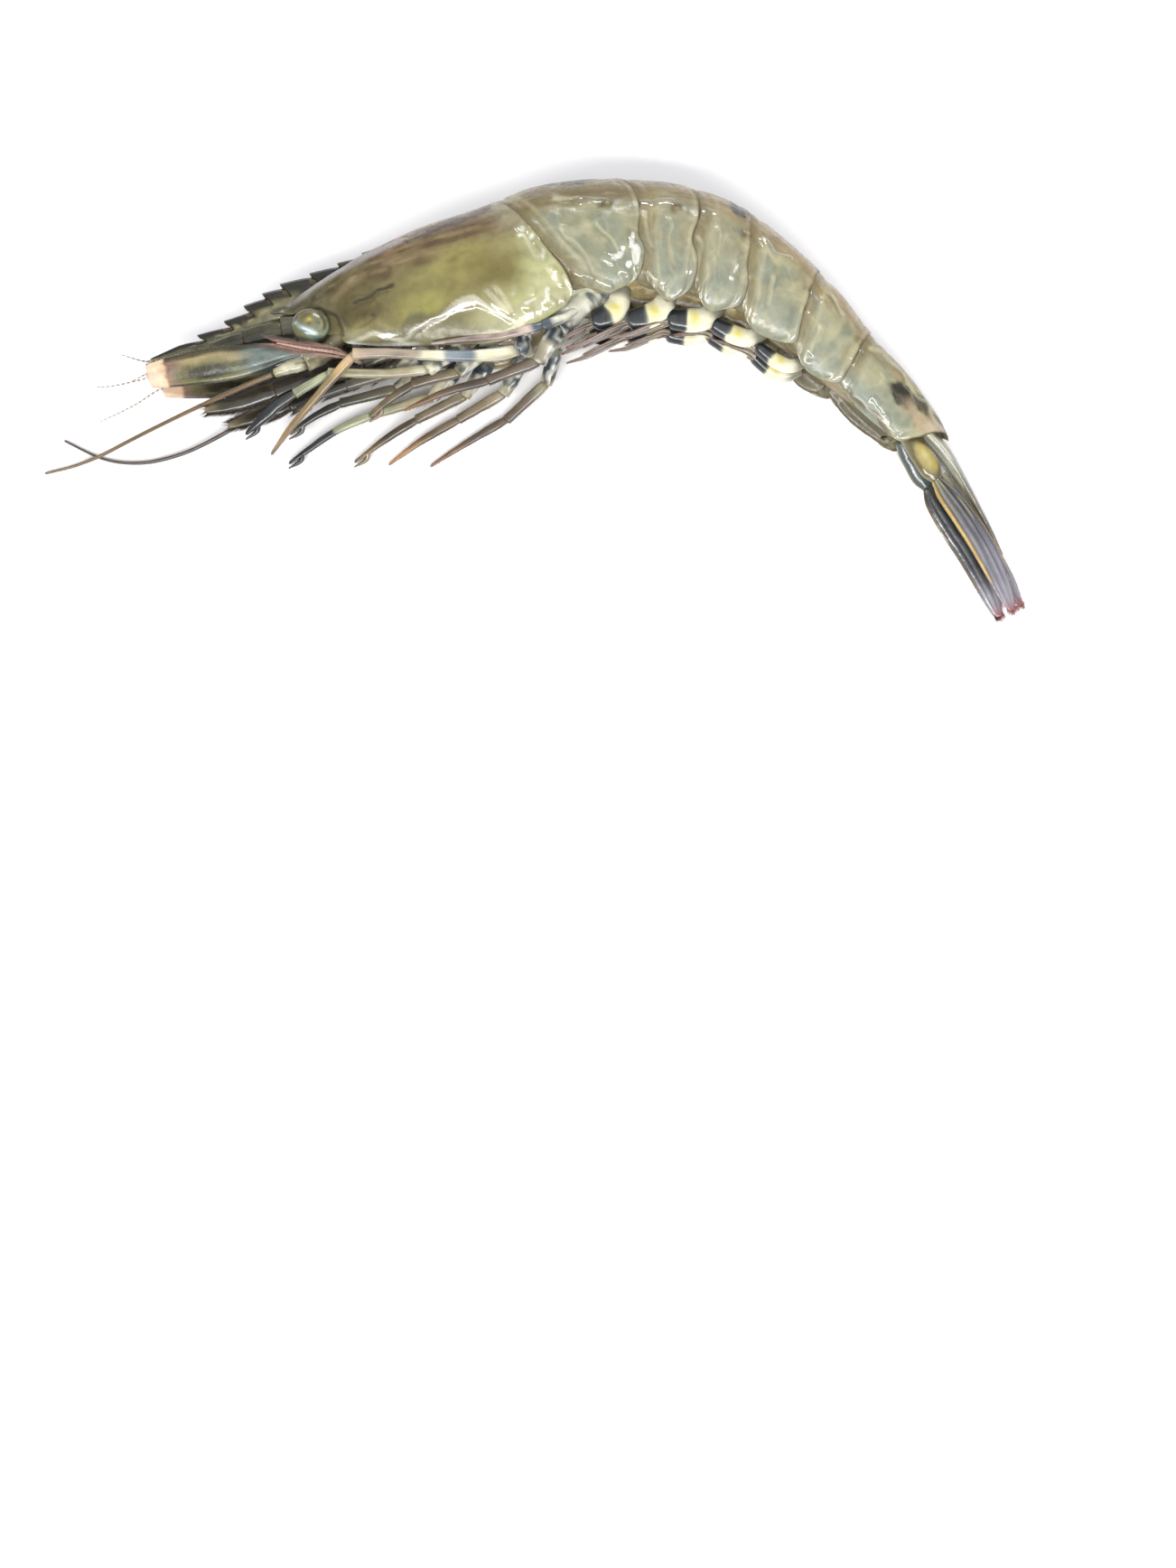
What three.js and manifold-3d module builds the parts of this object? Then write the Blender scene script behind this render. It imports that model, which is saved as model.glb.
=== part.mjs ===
// A raw tiger prawn, whole and in its shell, lying on its right side.
// Millimetres, +Z up. The head points to -X, the back to +Y, the left side up.
// Every place on the animal is given in body measures: "along" runs down the
// middle of the body from the eye socket to the tail, "out" from that line to
// the back (+) or the belly (-), "side" to the left (+) or the right (-).
import * as THREE from 'three';
import Module from 'manifold-3d';
import { mergeVertices } from 'three/addons/utils/BufferGeometryUtils.js';

const wasm = await Module();
wasm.setup();

// ---- driving dimensions ------------------------------------------------------

const GAP = 0.3;                    // soft joint skin between neighbouring pieces
const RIM_GAP = 0.6;                // room between the slanting ends of two rings
const EYE_SOCKET = [-41.74, 17.66];  // where "along" 0 lies on the ground plan
const SPINE_STEP = 0.5;
const SPINE_END = 182;
const HEAD_END = 54;                // the stiff fore body reaches this far
const SETTLE = 0.35;                // the shell is pressed flat by its own weight

// Along the body: heading of the middle line in degrees, reach of the back and
// of the belly flaps from it, and half of the width.
const BODY = [
  { along: 0, heading: 14.5, back: 5.2, belly: 9.7, half: 5.9 },
  { along: 10, heading: 13.6, back: 8.7, belly: 12.4, half: 9.0 },
  { along: 23, heading: 12.2, back: 11.4, belly: 15.0, half: 11.3 },
  { along: 35, heading: 12.2, back: 12.6, belly: 17.0, half: 12.3 },
  { along: 46, heading: 13, back: 14.5, belly: 15.4, half: 12.5 },
  { along: 54, heading: 11.5, back: 14.2, belly: 14.4, half: 12.3 },
  { along: 62.7, heading: 6, back: 13.2, belly: 15.0, half: 12.0 },
  { along: 75, heading: -8, back: 11.6, belly: 15.2, half: 11.5 },
  { along: 82, heading: -19, back: 10.7, belly: 14.7, half: 11.0 },
  { along: 89, heading: -29.5, back: 9.6, belly: 13.6, half: 10.4 },
  { along: 95, heading: -36, back: 8.9, belly: 12.4, half: 9.7 },
  { along: 101.6, heading: -41, back: 8.6, belly: 10.8, half: 9.0 },
  { along: 115.6, heading: -45.5, back: 7.4, belly: 8.6, half: 7.7 },
  { along: 127, heading: -46.5, back: 7.3, belly: 6.2, half: 6.5 },
  { along: 139.5, heading: -48, back: 6.2, belly: 4.4, half: 5.0 },
  { along: 146, heading: -54, back: 4.0, belly: 4.0, half: 4.6 },
  { along: 152, heading: -56, back: 3.0, belly: 3.0, half: 4.4 },
  { along: 182, heading: -56, back: 3.0, belly: 3.0, half: 3.4 },
];

// Rear rim of each shell ring: where it crosses the back, the side and the flap.
const CARAPACE_FRONT = { back: -3.0, side: 1.0, flap: 4.0 };
const RIMS = [
  { back: 35.5, side: 45.6, flap: 51.5 },
  { back: 59.0, side: 65.4, flap: 61.5 },
  { back: 70.2, side: 76.6, flap: 73.0 },
  { back: 83.4, side: 88.2, flap: 92.0 },
  { back: 100.6, side: 103.0, flap: 108.0 },
  { back: 115.8, side: 117.4, flap: 120.0 },
  { back: 142.5, side: 138.6, flap: 136.6 },
];

// ---- the middle line of the body ---------------------------------------------

const radians = THREE.MathUtils.degToRad;

// Smooth value of one body measure at any place along the body.
function bodyMeasure(name, along) {
  const last = BODY.length - 1;
  if (along <= BODY[0].along) return BODY[0][name];
  if (along >= BODY[last].along) return BODY[last][name];
  const i = BODY.findIndex((station) => station.along > along) - 1;
  const slope = (k) => {
    const a = BODY[Math.max(k - 1, 0)];
    const b = BODY[Math.min(k + 1, last)];
    return (b[name] - a[name]) / (b.along - a.along);
  };
  const span = BODY[i + 1].along - BODY[i].along;
  const t = (along - BODY[i].along) / span;
  const rise = t * t * (3 - 2 * t);
  return BODY[i][name] * (1 - rise) + BODY[i + 1][name] * rise
    + span * (slope(i) * t * (1 - t) ** 2 - slope(i + 1) * t * t * (1 - t));
}

const spine = [{ x: EYE_SOCKET[0], y: EYE_SOCKET[1] }];
for (let along = 0; along < SPINE_END; along += SPINE_STEP) {
  const heading = radians(bodyMeasure('heading', along + SPINE_STEP / 2));
  const last = spine[spine.length - 1];
  spine.push({
    x: last.x + SPINE_STEP * Math.cos(heading),
    y: last.y + SPINE_STEP * Math.sin(heading),
  });
}

// Height of the middle line: the fore body is straight, and the supple tail
// lies down on its own side.
function liftAt(along) {
  return bodyMeasure('half', Math.max(along, HEAD_END)) - SETTLE;
}

// A point of the animal, never below the surface that it lies on.
function bodyPoint(along, out, side) {
  const heading = radians(bodyMeasure('heading', along));
  const place = Math.min(Math.max(along / SPINE_STEP, 0), spine.length - 2);
  const i = Math.floor(place);
  const before = Math.min(along, 0);
  const x = THREE.MathUtils.lerp(spine[i].x, spine[i + 1].x, place - i) + before * Math.cos(heading);
  const y = THREE.MathUtils.lerp(spine[i].y, spine[i + 1].y, place - i) + before * Math.sin(heading);
  return new THREE.Vector3(
    x - Math.sin(heading) * out,
    y + Math.cos(heading) * out,
    Math.max(liftAt(along) + side, 0),
  );
}

// ---- closed skins --------------------------------------------------------------

// Skin over a row of rings with the same number of points, shut at both ends.
function skin(rings, frontTip, rearTip) {
  const count = rings[0].length;
  const points = rings.flat();
  const faces = [];
  for (let i = 0; i < rings.length - 1; i += 1) {
    for (let j = 0; j < count; j += 1) {
      const next = (j + 1) % count;
      const a = i * count + j;
      const b = i * count + next;
      faces.push([a, b, a + count], [b, b + count, a + count]);
    }
  }
  const front = points.push(frontTip) - 1;
  const rear = points.push(rearTip) - 1;
  const lastRing = (rings.length - 1) * count;
  for (let j = 0; j < count; j += 1) {
    const next = (j + 1) % count;
    faces.push([front, next, j], [rear, lastRing + j, lastRing + next]);
  }
  let volume = 0;
  faces.forEach(([a, b, c]) => {
    volume += points[a].dot(new THREE.Vector3().crossVectors(points[b], points[c]));
  });
  if (volume < 0) faces.forEach((face) => face.reverse());
  const flat = points.flatMap((point) => point.toArray());
  const geometry = new THREE.BufferGeometry();
  geometry.setAttribute('position', new THREE.Float32BufferAttribute(flat, 3));
  geometry.setIndex(faces.flat());
  return geometry;
}

function solid(geometry) {
  const merged = mergeVertices(geometry, 1e-4);
  return new wasm.Manifold(new wasm.Mesh({
    numProp: 3,
    vertProperties: new Float32Array(merged.attributes.position.array),
    triVerts: new Uint32Array(merged.index.array),
  }));
}

function geometryOf(body) {
  const mesh = body.getMesh();
  const geometry = new THREE.BufferGeometry();
  geometry.setAttribute('position', new THREE.BufferAttribute(mesh.vertProperties, 3));
  geometry.setIndex(new THREE.BufferAttribute(mesh.triVerts, 1));
  return geometry;
}

// A limb, blade or feeler: an oval section drawn through stations, each
// [along, out, side, half width, half thickness]. "roll" turns the width from
// the back-to-belly direction towards the side.
function limb(stations, { roll = 0, sides = 6, grow = 0 } = {}) {
  const centres = stations.map(([along, out, side]) => bodyPoint(along, out, side));
  const rings = stations.map(([along, , , width, thickness], i) => {
    const before = centres[Math.max(i - 1, 0)];
    const after = centres[Math.min(i + 1, centres.length - 1)];
    const course = after.clone().sub(before).normalize();
    const heading = radians(bodyMeasure('heading', along));
    const tilt = radians(roll);
    const across = new THREE.Vector3(
      -Math.sin(heading) * Math.cos(tilt),
      Math.cos(heading) * Math.cos(tilt),
      Math.sin(tilt),
    );
    across.addScaledVector(course, -across.dot(course)).normalize();
    const through = new THREE.Vector3().crossVectors(course, across);
    return Array.from({ length: sides }, (_, j) => {
      const turn = (2 * Math.PI * j) / sides;
      const point = centres[i].clone()
        .addScaledVector(across, (width + grow) * Math.cos(turn))
        .addScaledVector(through, (thickness + grow) * Math.sin(turn));
      point.z = Math.max(point.z, 0);
      return point;
    });
  });
  const last = centres.length - 1;
  const first = centres[0].clone().sub(centres[1]).setLength(grow || 0.01).add(centres[0]);
  const end = centres[last].clone().sub(centres[last - 1]).setLength(grow || 0.01).add(centres[last]);
  return skin(rings, first, end);
}

// The same stations on the other side of the body.
const mirrored = (stations) => stations.map(([a, o, s, ...rest]) => [a, o, -s, ...rest]);

// ---- shell rings -----------------------------------------------------------------

const ARCH = [0, 16, 32, 48, 64, 80, 98, 114, 127, 138];   // degrees from the back
const FLAP_ANGLE = ARCH[ARCH.length - 1];
const FLAP_POWER = 3;               // the sides hang straighter than an oval
// Inside of the flap and the belly floor, as shares of half width and of belly.
const UNDERSIDE = [
  { side: 0.6, depth: 0.88 },
  { side: 0.46, depth: 0.7 },
  { side: 0.26, depth: 0.62 },
];
const BELLY_FLOOR = 0.58;
const FLAP_LOBE = 0.12;             // share by which a flap rounds off at its ends
const TUCK = 0.5;                   // a ring's front edge lies this much deeper
const FLARE = 0.3;                  // and its rear rim stands this much proud

const flapReach = (degrees) => {
  const side = Math.abs(Math.sin(radians(degrees)));
  const down = Math.abs(Math.cos(radians(degrees)));
  return (side ** FLAP_POWER + down ** FLAP_POWER) ** (-1 / FLAP_POWER);
};
const FLAP_DEPTH = Math.abs(Math.cos(radians(FLAP_ANGLE))) * flapReach(FLAP_ANGLE);

// One half of the section as [degrees, side share, out share].
const halfSection = ARCH.map((degrees) => {
  const reach = degrees > 90 ? flapReach(degrees) : 1;
  const side = Math.sin(radians(degrees)) * reach;
  const out = Math.cos(radians(degrees)) * reach / (degrees > 90 ? FLAP_DEPTH : 1);
  return [degrees, side, out];
}).concat(UNDERSIDE.map(({ side, depth }) => [FLAP_ANGLE, side, -depth]));
const SECTION = [
  ...halfSection,
  [FLAP_ANGLE, 0, -BELLY_FLOOR],
  ...halfSection.slice(1).reverse().map(([degrees, side, out]) => [degrees, -side, out]),
];

// Place along the body where a rim crosses the section at this angle.
function rimAt(rim, degrees) {
  const t = degrees / FLAP_ANGLE;
  const middle = 90 / FLAP_ANGLE;
  return rim.back * (t - middle) * (t - 1) / middle
    + rim.side * t * (t - 1) / (middle * (middle - 1))
    + rim.flap * t * (t - middle) / (1 - middle);
}

// A shell ring filled with its flesh. Its front edge tucks in, its rear rim
// stands proud of the next ring, and its flaps end in a rounded lobe. The tucked
// edge keeps to the slanting end face of the ring in front.
function shellRing({ front, rear, shares }) {
  const middleOf = (rim) => (rim.back + rim.side + rim.flap) / 3;
  const rings = shares.map((share) => SECTION.map(([degrees, side, out]) => {
    const overlap = share === 0 ? (TUCK + FLARE) / bodyMeasure('half', front.side) : 0;
    const edge = THREE.MathUtils.lerp(rimAt(front, degrees), middleOf(front), overlap);
    const along = THREE.MathUtils.lerp(edge, rimAt(rear, degrees), share);
    const stand = FLARE * share ** 3 - TUCK * (1 - share) ** 6;
    const half = bodyMeasure('half', along) + stand;
    const reach = out > 0
      ? bodyMeasure('back', along) + stand
      : (bodyMeasure('belly', along) + stand) * (1 - FLAP_LOBE * Math.abs(2 * share - 1) ** 2.5);
    return bodyPoint(along, out * reach, side * half);
  }));
  return skin(
    rings,
    bodyPoint(middleOf(front), 0, 0),
    bodyPoint(middleOf(rear), 0, 0),
  );
}

const moved = (rim, by) => ({ back: rim.back + by, side: rim.side + by, flap: rim.flap + by });

// ---- the rostrum: a toothed crest that runs out in front of the eyes -----------

const CREST = [
  // along, top edge, bottom edge, half thickness
  [20, 11.2, 6.0, 0.5],
  [7.2, 9.0, 2.5, 0.8],
  [-5.2, 7.8, 1.0, 1.2],
  [-9.2, 6.8, 0.6, 1.3],
  [-13.5, 5.3, 0.0, 1.3],
  [-18.2, 3.3, -0.5, 1.2],
  [-24.2, 1.9, -0.9, 1.0],
  [-29.5, 1.0, -1.1, 0.7],
  [-36.5, -0.2, -0.9, 0.25],
];
const TOP_TEETH = [12.5, 7.2, 1.2, -5.2, -9.2, -13.5, -18.2, -24.2];
const BOTTOM_TEETH = [-16, -21.5, -27];
const TOOTH = 1.1;                  // depth of the notch in front of a tooth
const NOTCH = 0.45;                 // length of that notch
const CREST_TIP = [-37, -0.6, 0];
const CREST_END = [20.5, 8.5, 0];   // sunk in the back of the carapace
const SIDE_RIDGE = 0.35;            // height share of the keel along each side
const SHOULDER = { height: 0.8, half: 0.4 };

function crestMeasure(along, column) {
  const i = Math.min(CREST.findIndex((row) => row[0] <= along), CREST.length - 1);
  const a = CREST[Math.max(i - 1, 0)];
  const b = CREST[i];
  const t = a === b ? 0 : (a[0] - along) / (a[0] - b[0]);
  return THREE.MathUtils.lerp(a[column], b[column], t);
}

function rostrum() {
  const cuts = [CREST[0][0], -32, CREST[CREST.length - 1][0]];
  TOP_TEETH.forEach((tooth) => cuts.push(tooth, tooth - NOTCH));
  BOTTOM_TEETH.forEach((tooth) => cuts.push(tooth, tooth - NOTCH));
  cuts.sort((a, b) => b - a);
  const inNotch = (teeth, along) => teeth.some((tooth) => Math.abs(along - tooth + NOTCH) < 0.01);
  const rings = cuts.map((along) => {
    const top = crestMeasure(along, 1) - (inNotch(TOP_TEETH, along) ? TOOTH : 0);
    const bottom = crestMeasure(along, 2) + (inNotch(BOTTOM_TEETH, along) ? TOOTH / 2 : 0);
    const half = crestMeasure(along, 3);
    const ridge = THREE.MathUtils.lerp(bottom, top, SIDE_RIDGE);
    const shoulder = THREE.MathUtils.lerp(bottom, top, SHOULDER.height);
    return [
      bodyPoint(along, top, 0),
      bodyPoint(along, shoulder, half * SHOULDER.half),
      bodyPoint(along, ridge, half),
      bodyPoint(along, bottom, 0),
      bodyPoint(along, ridge, -half),
      bodyPoint(along, shoulder, -half * SHOULDER.half),
    ];
  });
  return skin(rings, bodyPoint(...CREST_END), bodyPoint(...CREST_TIP));
}

// ---- head pieces -----------------------------------------------------------------

const EYE = { along: -2.9, out: -4.6, side: 6.5, radius: 3.0, meridians: 14, parallels: 10 };
const EYE_STALK = [
  [2.6, 0.0, 1.6, 1.0, 1.0],
  [0.2, -1.4, 3.6, 1.1, 1.1],
  [-1.4, -3.2, 5.4, 1.5, 1.5],
];

function eye(sign, grow = 0) {
  const ball = new THREE.SphereGeometry(EYE.radius + grow, EYE.meridians, EYE.parallels);
  ball.deleteAttribute('normal');
  ball.deleteAttribute('uv');
  ball.translate(...bodyPoint(EYE.along, EYE.out, EYE.side * sign).toArray());
  const stalk = sign > 0 ? EYE_STALK : mirrored(EYE_STALK);
  return solid(ball).add(solid(limb(stalk, { sides: 8, grow })));
}

const ANTENNULE = [
  [2.4, -3.8, 1.6, 1.2, 1.2],
  [-4.5, -3.2, 1.8, 1.3, 1.3],
  [-9.5, -2.6, 2.1, 1.6, 1.6],
  [-10.2, -2.6, 2.1, 1.2, 1.2],
  [-11, -2.5, 2.1, 1.5, 1.5],
  [-17.5, -2.6, 2.3, 1.3, 1.3],
  [-18.2, -2.6, 2.3, 0.9, 0.9],
  [-19, -2.7, 2.3, 1.2, 1.2],
  [-24.5, -2.9, 2.4, 0.9, 0.9],
];
const ANTENNULE_WHIPS = [
  [[-23.8, -2.7, 2.4, 0.5, 0.5], [-30, -2.3, 2.8, 0.45, 0.45], [-37, -1.9, 3.0, 0.35, 0.35],
    [-42, 0.9, 2.4, 0.2, 0.2]],
  [[-23.8, -3.2, 2.5, 0.5, 0.5], [-31, -4.4, 1.9, 0.45, 0.45], [-38, -4.6, 1.6, 0.35, 0.35],
    [-45.5, -4.3, 1.2, 0.28, 0.28], [-49, -3.5, 0.6, 0.2, 0.2]],
];
const RIGHT_WHIPS = [
  [[-23.8, -2.7, -2.4, 0.5, 0.5], [-30, -2.2, -2.7, 0.45, 0.45], [-38, -1.9, -3.2, 0.3, 0.3],
    [-43, -2.4, -4.4, 0.2, 0.2]],
  [[-23.8, -3.2, -2.5, 0.5, 0.5], [-31, -4.8, -1.8, 0.45, 0.45], [-38, -6.6, -1.6, 0.35, 0.35],
    [-43.2, -7.9, -2.6, 0.3, 0.3], [-51.5, -8.7, -5.0, 0.2, 0.2]],
];

function antennule(sign, grow = 0) {
  const stations = sign > 0 ? ANTENNULE : mirrored(ANTENNULE);
  const whips = sign > 0 ? ANTENNULE_WHIPS : RIGHT_WHIPS;
  let body = solid(limb(stations, { grow }));
  whips.forEach((whip) => {
    body = body.add(solid(limb(whip, { sides: 5, grow })));
  });
  return body;
}

// The scale: a stiff plate beside the feeler, with a thick outer rib.
const SCALE = [
  [-6.4, -8.5, 6.4, 1.1, 0.9],
  [-9.5, -8.4, 7.0, 1.6, 1.0],
  [-13.5, -8.2, 7.3, 2.6, 0.9],
  [-19, -7.9, 7.2, 3.3, 0.75],
  [-25, -7.1, 6.6, 3.4, 0.7],
  [-31, -6.2, 5.6, 3.1, 0.6],
  [-35.6, -5.6, 4.8, 2.6, 0.5],
  [-37.3, -5.4, 4.4, 1.5, 0.4],
];
const SCALE_ROLL = 16;
const RIGHT_SCALE_LAG = 0.4;        // the right one is set a little further back

function scale(sign, grow = 0) {
  const stations = sign > 0
    ? SCALE
    : mirrored(SCALE).map(([a, ...rest]) => [a + RIGHT_SCALE_LAG, ...rest]);
  return solid(limb(stations, { roll: SCALE_ROLL * sign, sides: 8, grow }));
}

// The base joints of the long feeler.
const FEELER_BASE = [
  [2.2, -7.2, 4.2, 1.7, 1.5],
  [-2.5, -10.8, 5.6, 1.9, 1.7],
  [-6.2, -12.0, 6.6, 1.9, 1.7],
  [-7.0, -12.2, 6.8, 1.4, 1.3],
  [-7.8, -12.2, 6.9, 1.7, 1.6],
  [-12.4, -12.2, 6.9, 1.3, 1.2],
];

function feelerBase(sign, grow = 0) {
  const stations = sign > 0 ? FEELER_BASE : mirrored(FEELER_BASE);
  return solid(limb(stations, { grow }));
}

// The long feelers are broken off short, and lie down on the ground.
const LEFT_FEELER = [
  [-12.9, -12.0, 6.8, 0.8], [-17, -12.2, 5.9, 0.75], [-22.8, -12.4, 3.8, 0.7],
  [-28.5, -12.5, 1.2, 0.65], [-34.5, -12.6, -1.8, 0.62], [-41, -12.8, -5.0, 0.6],
  [-47.5, -13.2, -7.9, 0.58], [-54.8, -14.1, -10.0, 0.55], [-60.8, -14.5, -11.0, 0.5],
  [-67.5, -14.4, -11.3, 0.45],
];
const RIGHT_FEELER = [
  [-12.9, -12.0, -6.8, 0.8], [-17, -13.2, -7.6, 0.75], [-24.0, -15.3, -8.6, 0.7],
  [-30.5, -16.8, -9.6, 0.65], [-37.2, -17.8, -10.5, 0.6], [-43.8, -17.8, -11.1, 0.6],
  [-48.2, -17.1, -11.2, 0.55], [-52.5, -15.6, -11.3, 0.5], [-56, -13.5, -11.4, 0.45],
  [-61.8, -8.7, -11.4, 0.4],
];

function feeler(stations) {
  return solid(limb(stations.map(([a, o, s, r]) => [a, o, s, r, r])));
}

// ---- legs --------------------------------------------------------------------------

// A leg is stations of [along, out, side, radius]; the joints are the thick ones.
const LEFT_MAXILLIPED = [
  [14.5, -7.4, 2.8, 1.8], [12, -11.8, 3.2, 1.7], [5, -13.2, 2.6, 1.3], [-5.6, -12.7, 2.2, 1.4],
  [-14, -13.6, 2.0, 1.6], [-22, -14.2, 1.6, 1.2], [-29, -13.9, 1.2, 0.5],
];
const RIGHT_MAXILLIPED = [
  [14.5, -7.4, -2.8, 1.8], [12, -11.8, -3.2, 1.7], [5, -14.0, -3.0, 1.3], [-5, -14.6, -2.4, 1.4],
  [-12.5, -15.8, -2.2, 1.5], [-20, -16.6, -2.6, 1.1], [-26, -16.8, -3.2, 0.5],
];
// Each jaw foot carries a soft whip that curls up past the feeler.
const JAW_WHIP = [
  [5, -13.2, 2.8, 0.5, 0.5], [3.5, -12.4, 4.8, 0.45, 0.45], [1.5, -11.7, 7.6, 0.45, 0.45],
  [-0.8, -11.0, 9.2, 0.4, 0.4], [-5, -9.4, 9.6, 0.35, 0.35], [-10, -7.0, 9.4, 0.2, 0.2],
];
const LEFT_LEGS = [
  [[20, -9.0, 3.2, 2.2], [18.5, -14.6, 4.6, 2.0], [12, -17.0, 4.3, 1.4], [1, -16.8, 3.3, 1.2],
    [0, -16.8, 3.2, 1.3], [-5.5, -17.4, 2.8, 1.0], [-10.5, -18.8, 2.0, 0.8]],
  [[26, -9.6, 3.4, 2.3], [25, -15.8, 5.4, 2.1], [18, -19.0, 7.4, 1.25], [9, -17.4, 7.0, 1.15],
    [-1.5, -14.0, 5.5, 1.05], [-2.8, -14.1, 5.4, 1.2], [-10, -16.2, 4.4, 0.9],
    [-13.5, -17.2, 3.8, 1.1], [-17.2, -18.8, 3.0, 1.5], [-21.8, -20.9, 2.0, 0.4]],
  [[32, -10.2, 3.6, 2.3], [31, -16.6, 5.0, 2.1], [24, -19.8, 3.6, 1.4], [14.5, -19.6, 2.8, 1.25],
    [13.2, -19.8, 2.7, 1.4], [8.0, -21.6, 2.0, 1.0], [3.5, -23.6, 1.4, 0.7]],
  [[38, -10.4, 4.0, 2.3], [38.4, -16.6, 6.0, 2.1], [37, -19.4, 7.8, 1.6], [30, -18.9, 9.0, 1.3],
    [20, -16.9, 9.6, 1.1], [8.5, -13.9, 9.6, 1.05], [4.6, -12.9, 9.5, 1.3], [3.2, -13.2, 9.1, 1.2],
    [-3.5, -17.4, 7.2, 0.85], [-12.5, -22.4, 3.4, 0.75], [-18, -25.8, 0.6, 0.4]],
  [[44, -9.6, 4.0, 2.2], [45, -16.4, 6.0, 2.1], [40, -21.6, 5.0, 1.5], [30, -22.8, 4.4, 1.2],
    [28.8, -22.6, 4.3, 1.35], [20, -22.9, 3.4, 1.0], [11, -24.2, 2.2, 0.4]],
];
const RIGHT_LEGS = [
  [[20, -9.0, -3.2, 2.2], [18.5, -14.8, -4.6, 2.0], [10, -17.6, -5.6, 1.4], [-2, -17.2, -6.2, 1.2],
    [-3.2, -17.2, -6.2, 1.35], [-8.5, -18.4, -6.8, 1.0], [-14.5, -20.4, -7.6, 0.5]],
  [[26, -9.6, -3.4, 2.3], [25, -15.9, -5.2, 2.1], [17, -20.6, -7.6, 1.4], [4, -20.4, -8.8, 1.2],
    [2.8, -20.4, -8.8, 1.35], [-4.5, -21.6, -9.3, 1.0], [-12, -24.0, -9.9, 0.8],
    [-16.5, -25.6, -10.3, 0.4]],
  [[32, -10.2, -3.6, 2.3], [31, -16.6, -4.8, 2.1], [24, -22.4, -5.0, 1.4], [13, -24.0, -7.4, 1.2],
    [11.8, -24.2, -7.6, 1.35], [5, -26.0, -9.2, 1.0], [-3, -28.8, -10.4, 0.4]],
  [[38, -10.4, -4.0, 2.3], [38.4, -16.8, -6.0, 2.1], [32, -22.8, -8.0, 1.5], [22, -25.4, -9.6, 1.2],
    [20.8, -25.6, -9.8, 1.35], [12, -28.0, -10.5, 0.95], [4, -31.0, -10.9, 0.4]],
  [[44, -9.6, -4.0, 2.2], [45, -16.4, -6.0, 2.1], [41, -22.6, -8.4, 1.5], [32, -27.4, -10.2, 1.2],
    [30.8, -27.8, -10.2, 1.3], [22, -30.4, -10.7, 0.9], [13, -33.4, -11.1, 0.4]],
];
// The first three pairs of legs end in small pincers.
const PINCER_PAIRS = 3;
const PINCER = { length: 4.2, spread: 0.9, radius: 0.55 };

function leg(stations, pincered, grow = 0) {
  let body = solid(limb(stations.map(([a, o, s, r]) => [a, o, s, r, r]), { grow }));
  if (pincered) {
    const [a0, o0, s0] = stations[stations.length - 2];
    const [a1, o1, s1, r1] = stations[stations.length - 1];
    const reach = Math.hypot(a1 - a0, o1 - o0, s1 - s0);
    const [da, dout] = [(a1 - a0) / reach, (o1 - o0) / reach];
    const finger = [
      [a0, o0, s0, PINCER.radius, PINCER.radius],
      [a1 - dout * PINCER.spread, o1 + da * PINCER.spread, s1, r1 * 0.8, r1 * 0.8],
      [
        a1 + da * PINCER.length * 0.2 - dout * PINCER.spread,
        o1 + dout * PINCER.length * 0.2 + da * PINCER.spread,
        s1, r1 * 0.4, r1 * 0.4,
      ],
    ];
    body = body.add(solid(limb(finger, { grow })));
  }
  return body;
}

function jawFoot(sign, grow = 0) {
  const foot = leg(sign > 0 ? LEFT_MAXILLIPED : RIGHT_MAXILLIPED, false, grow);
  return foot.add(solid(limb(sign > 0 ? JAW_WHIP : mirrored(JAW_WHIP), { sides: 5, grow })));
}

// ---- swimming legs -------------------------------------------------------------------

// Each is a stout stalk swept forward, with two thin blades folded under it.
const SWIMMERS = [
  { root: 59.2, knee: 52.0, depth: 16.2, blade: 7 },
  { root: 71.0, knee: 61.0, depth: 17.0, blade: 16 },
  { root: 84.0, knee: 73.4, depth: 16.6, blade: 18 },
  { root: 96.6, knee: 87.2, depth: 15.2, blade: 18 },
  { root: 109.4, knee: 99.8, depth: 14.2, blade: 16 },
];
const STALK = { side: 4.9, half: 2.2, thick: 1.35 };
const BLADE = { half: 1.9, thick: 0.4, dip: 1.2, fall: 3.7 };
const BLADES = [
  { share: 1, shift: 0.5, width: 1 },
  { share: 0.75, shift: -2.3, width: 0.5 },
];

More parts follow.
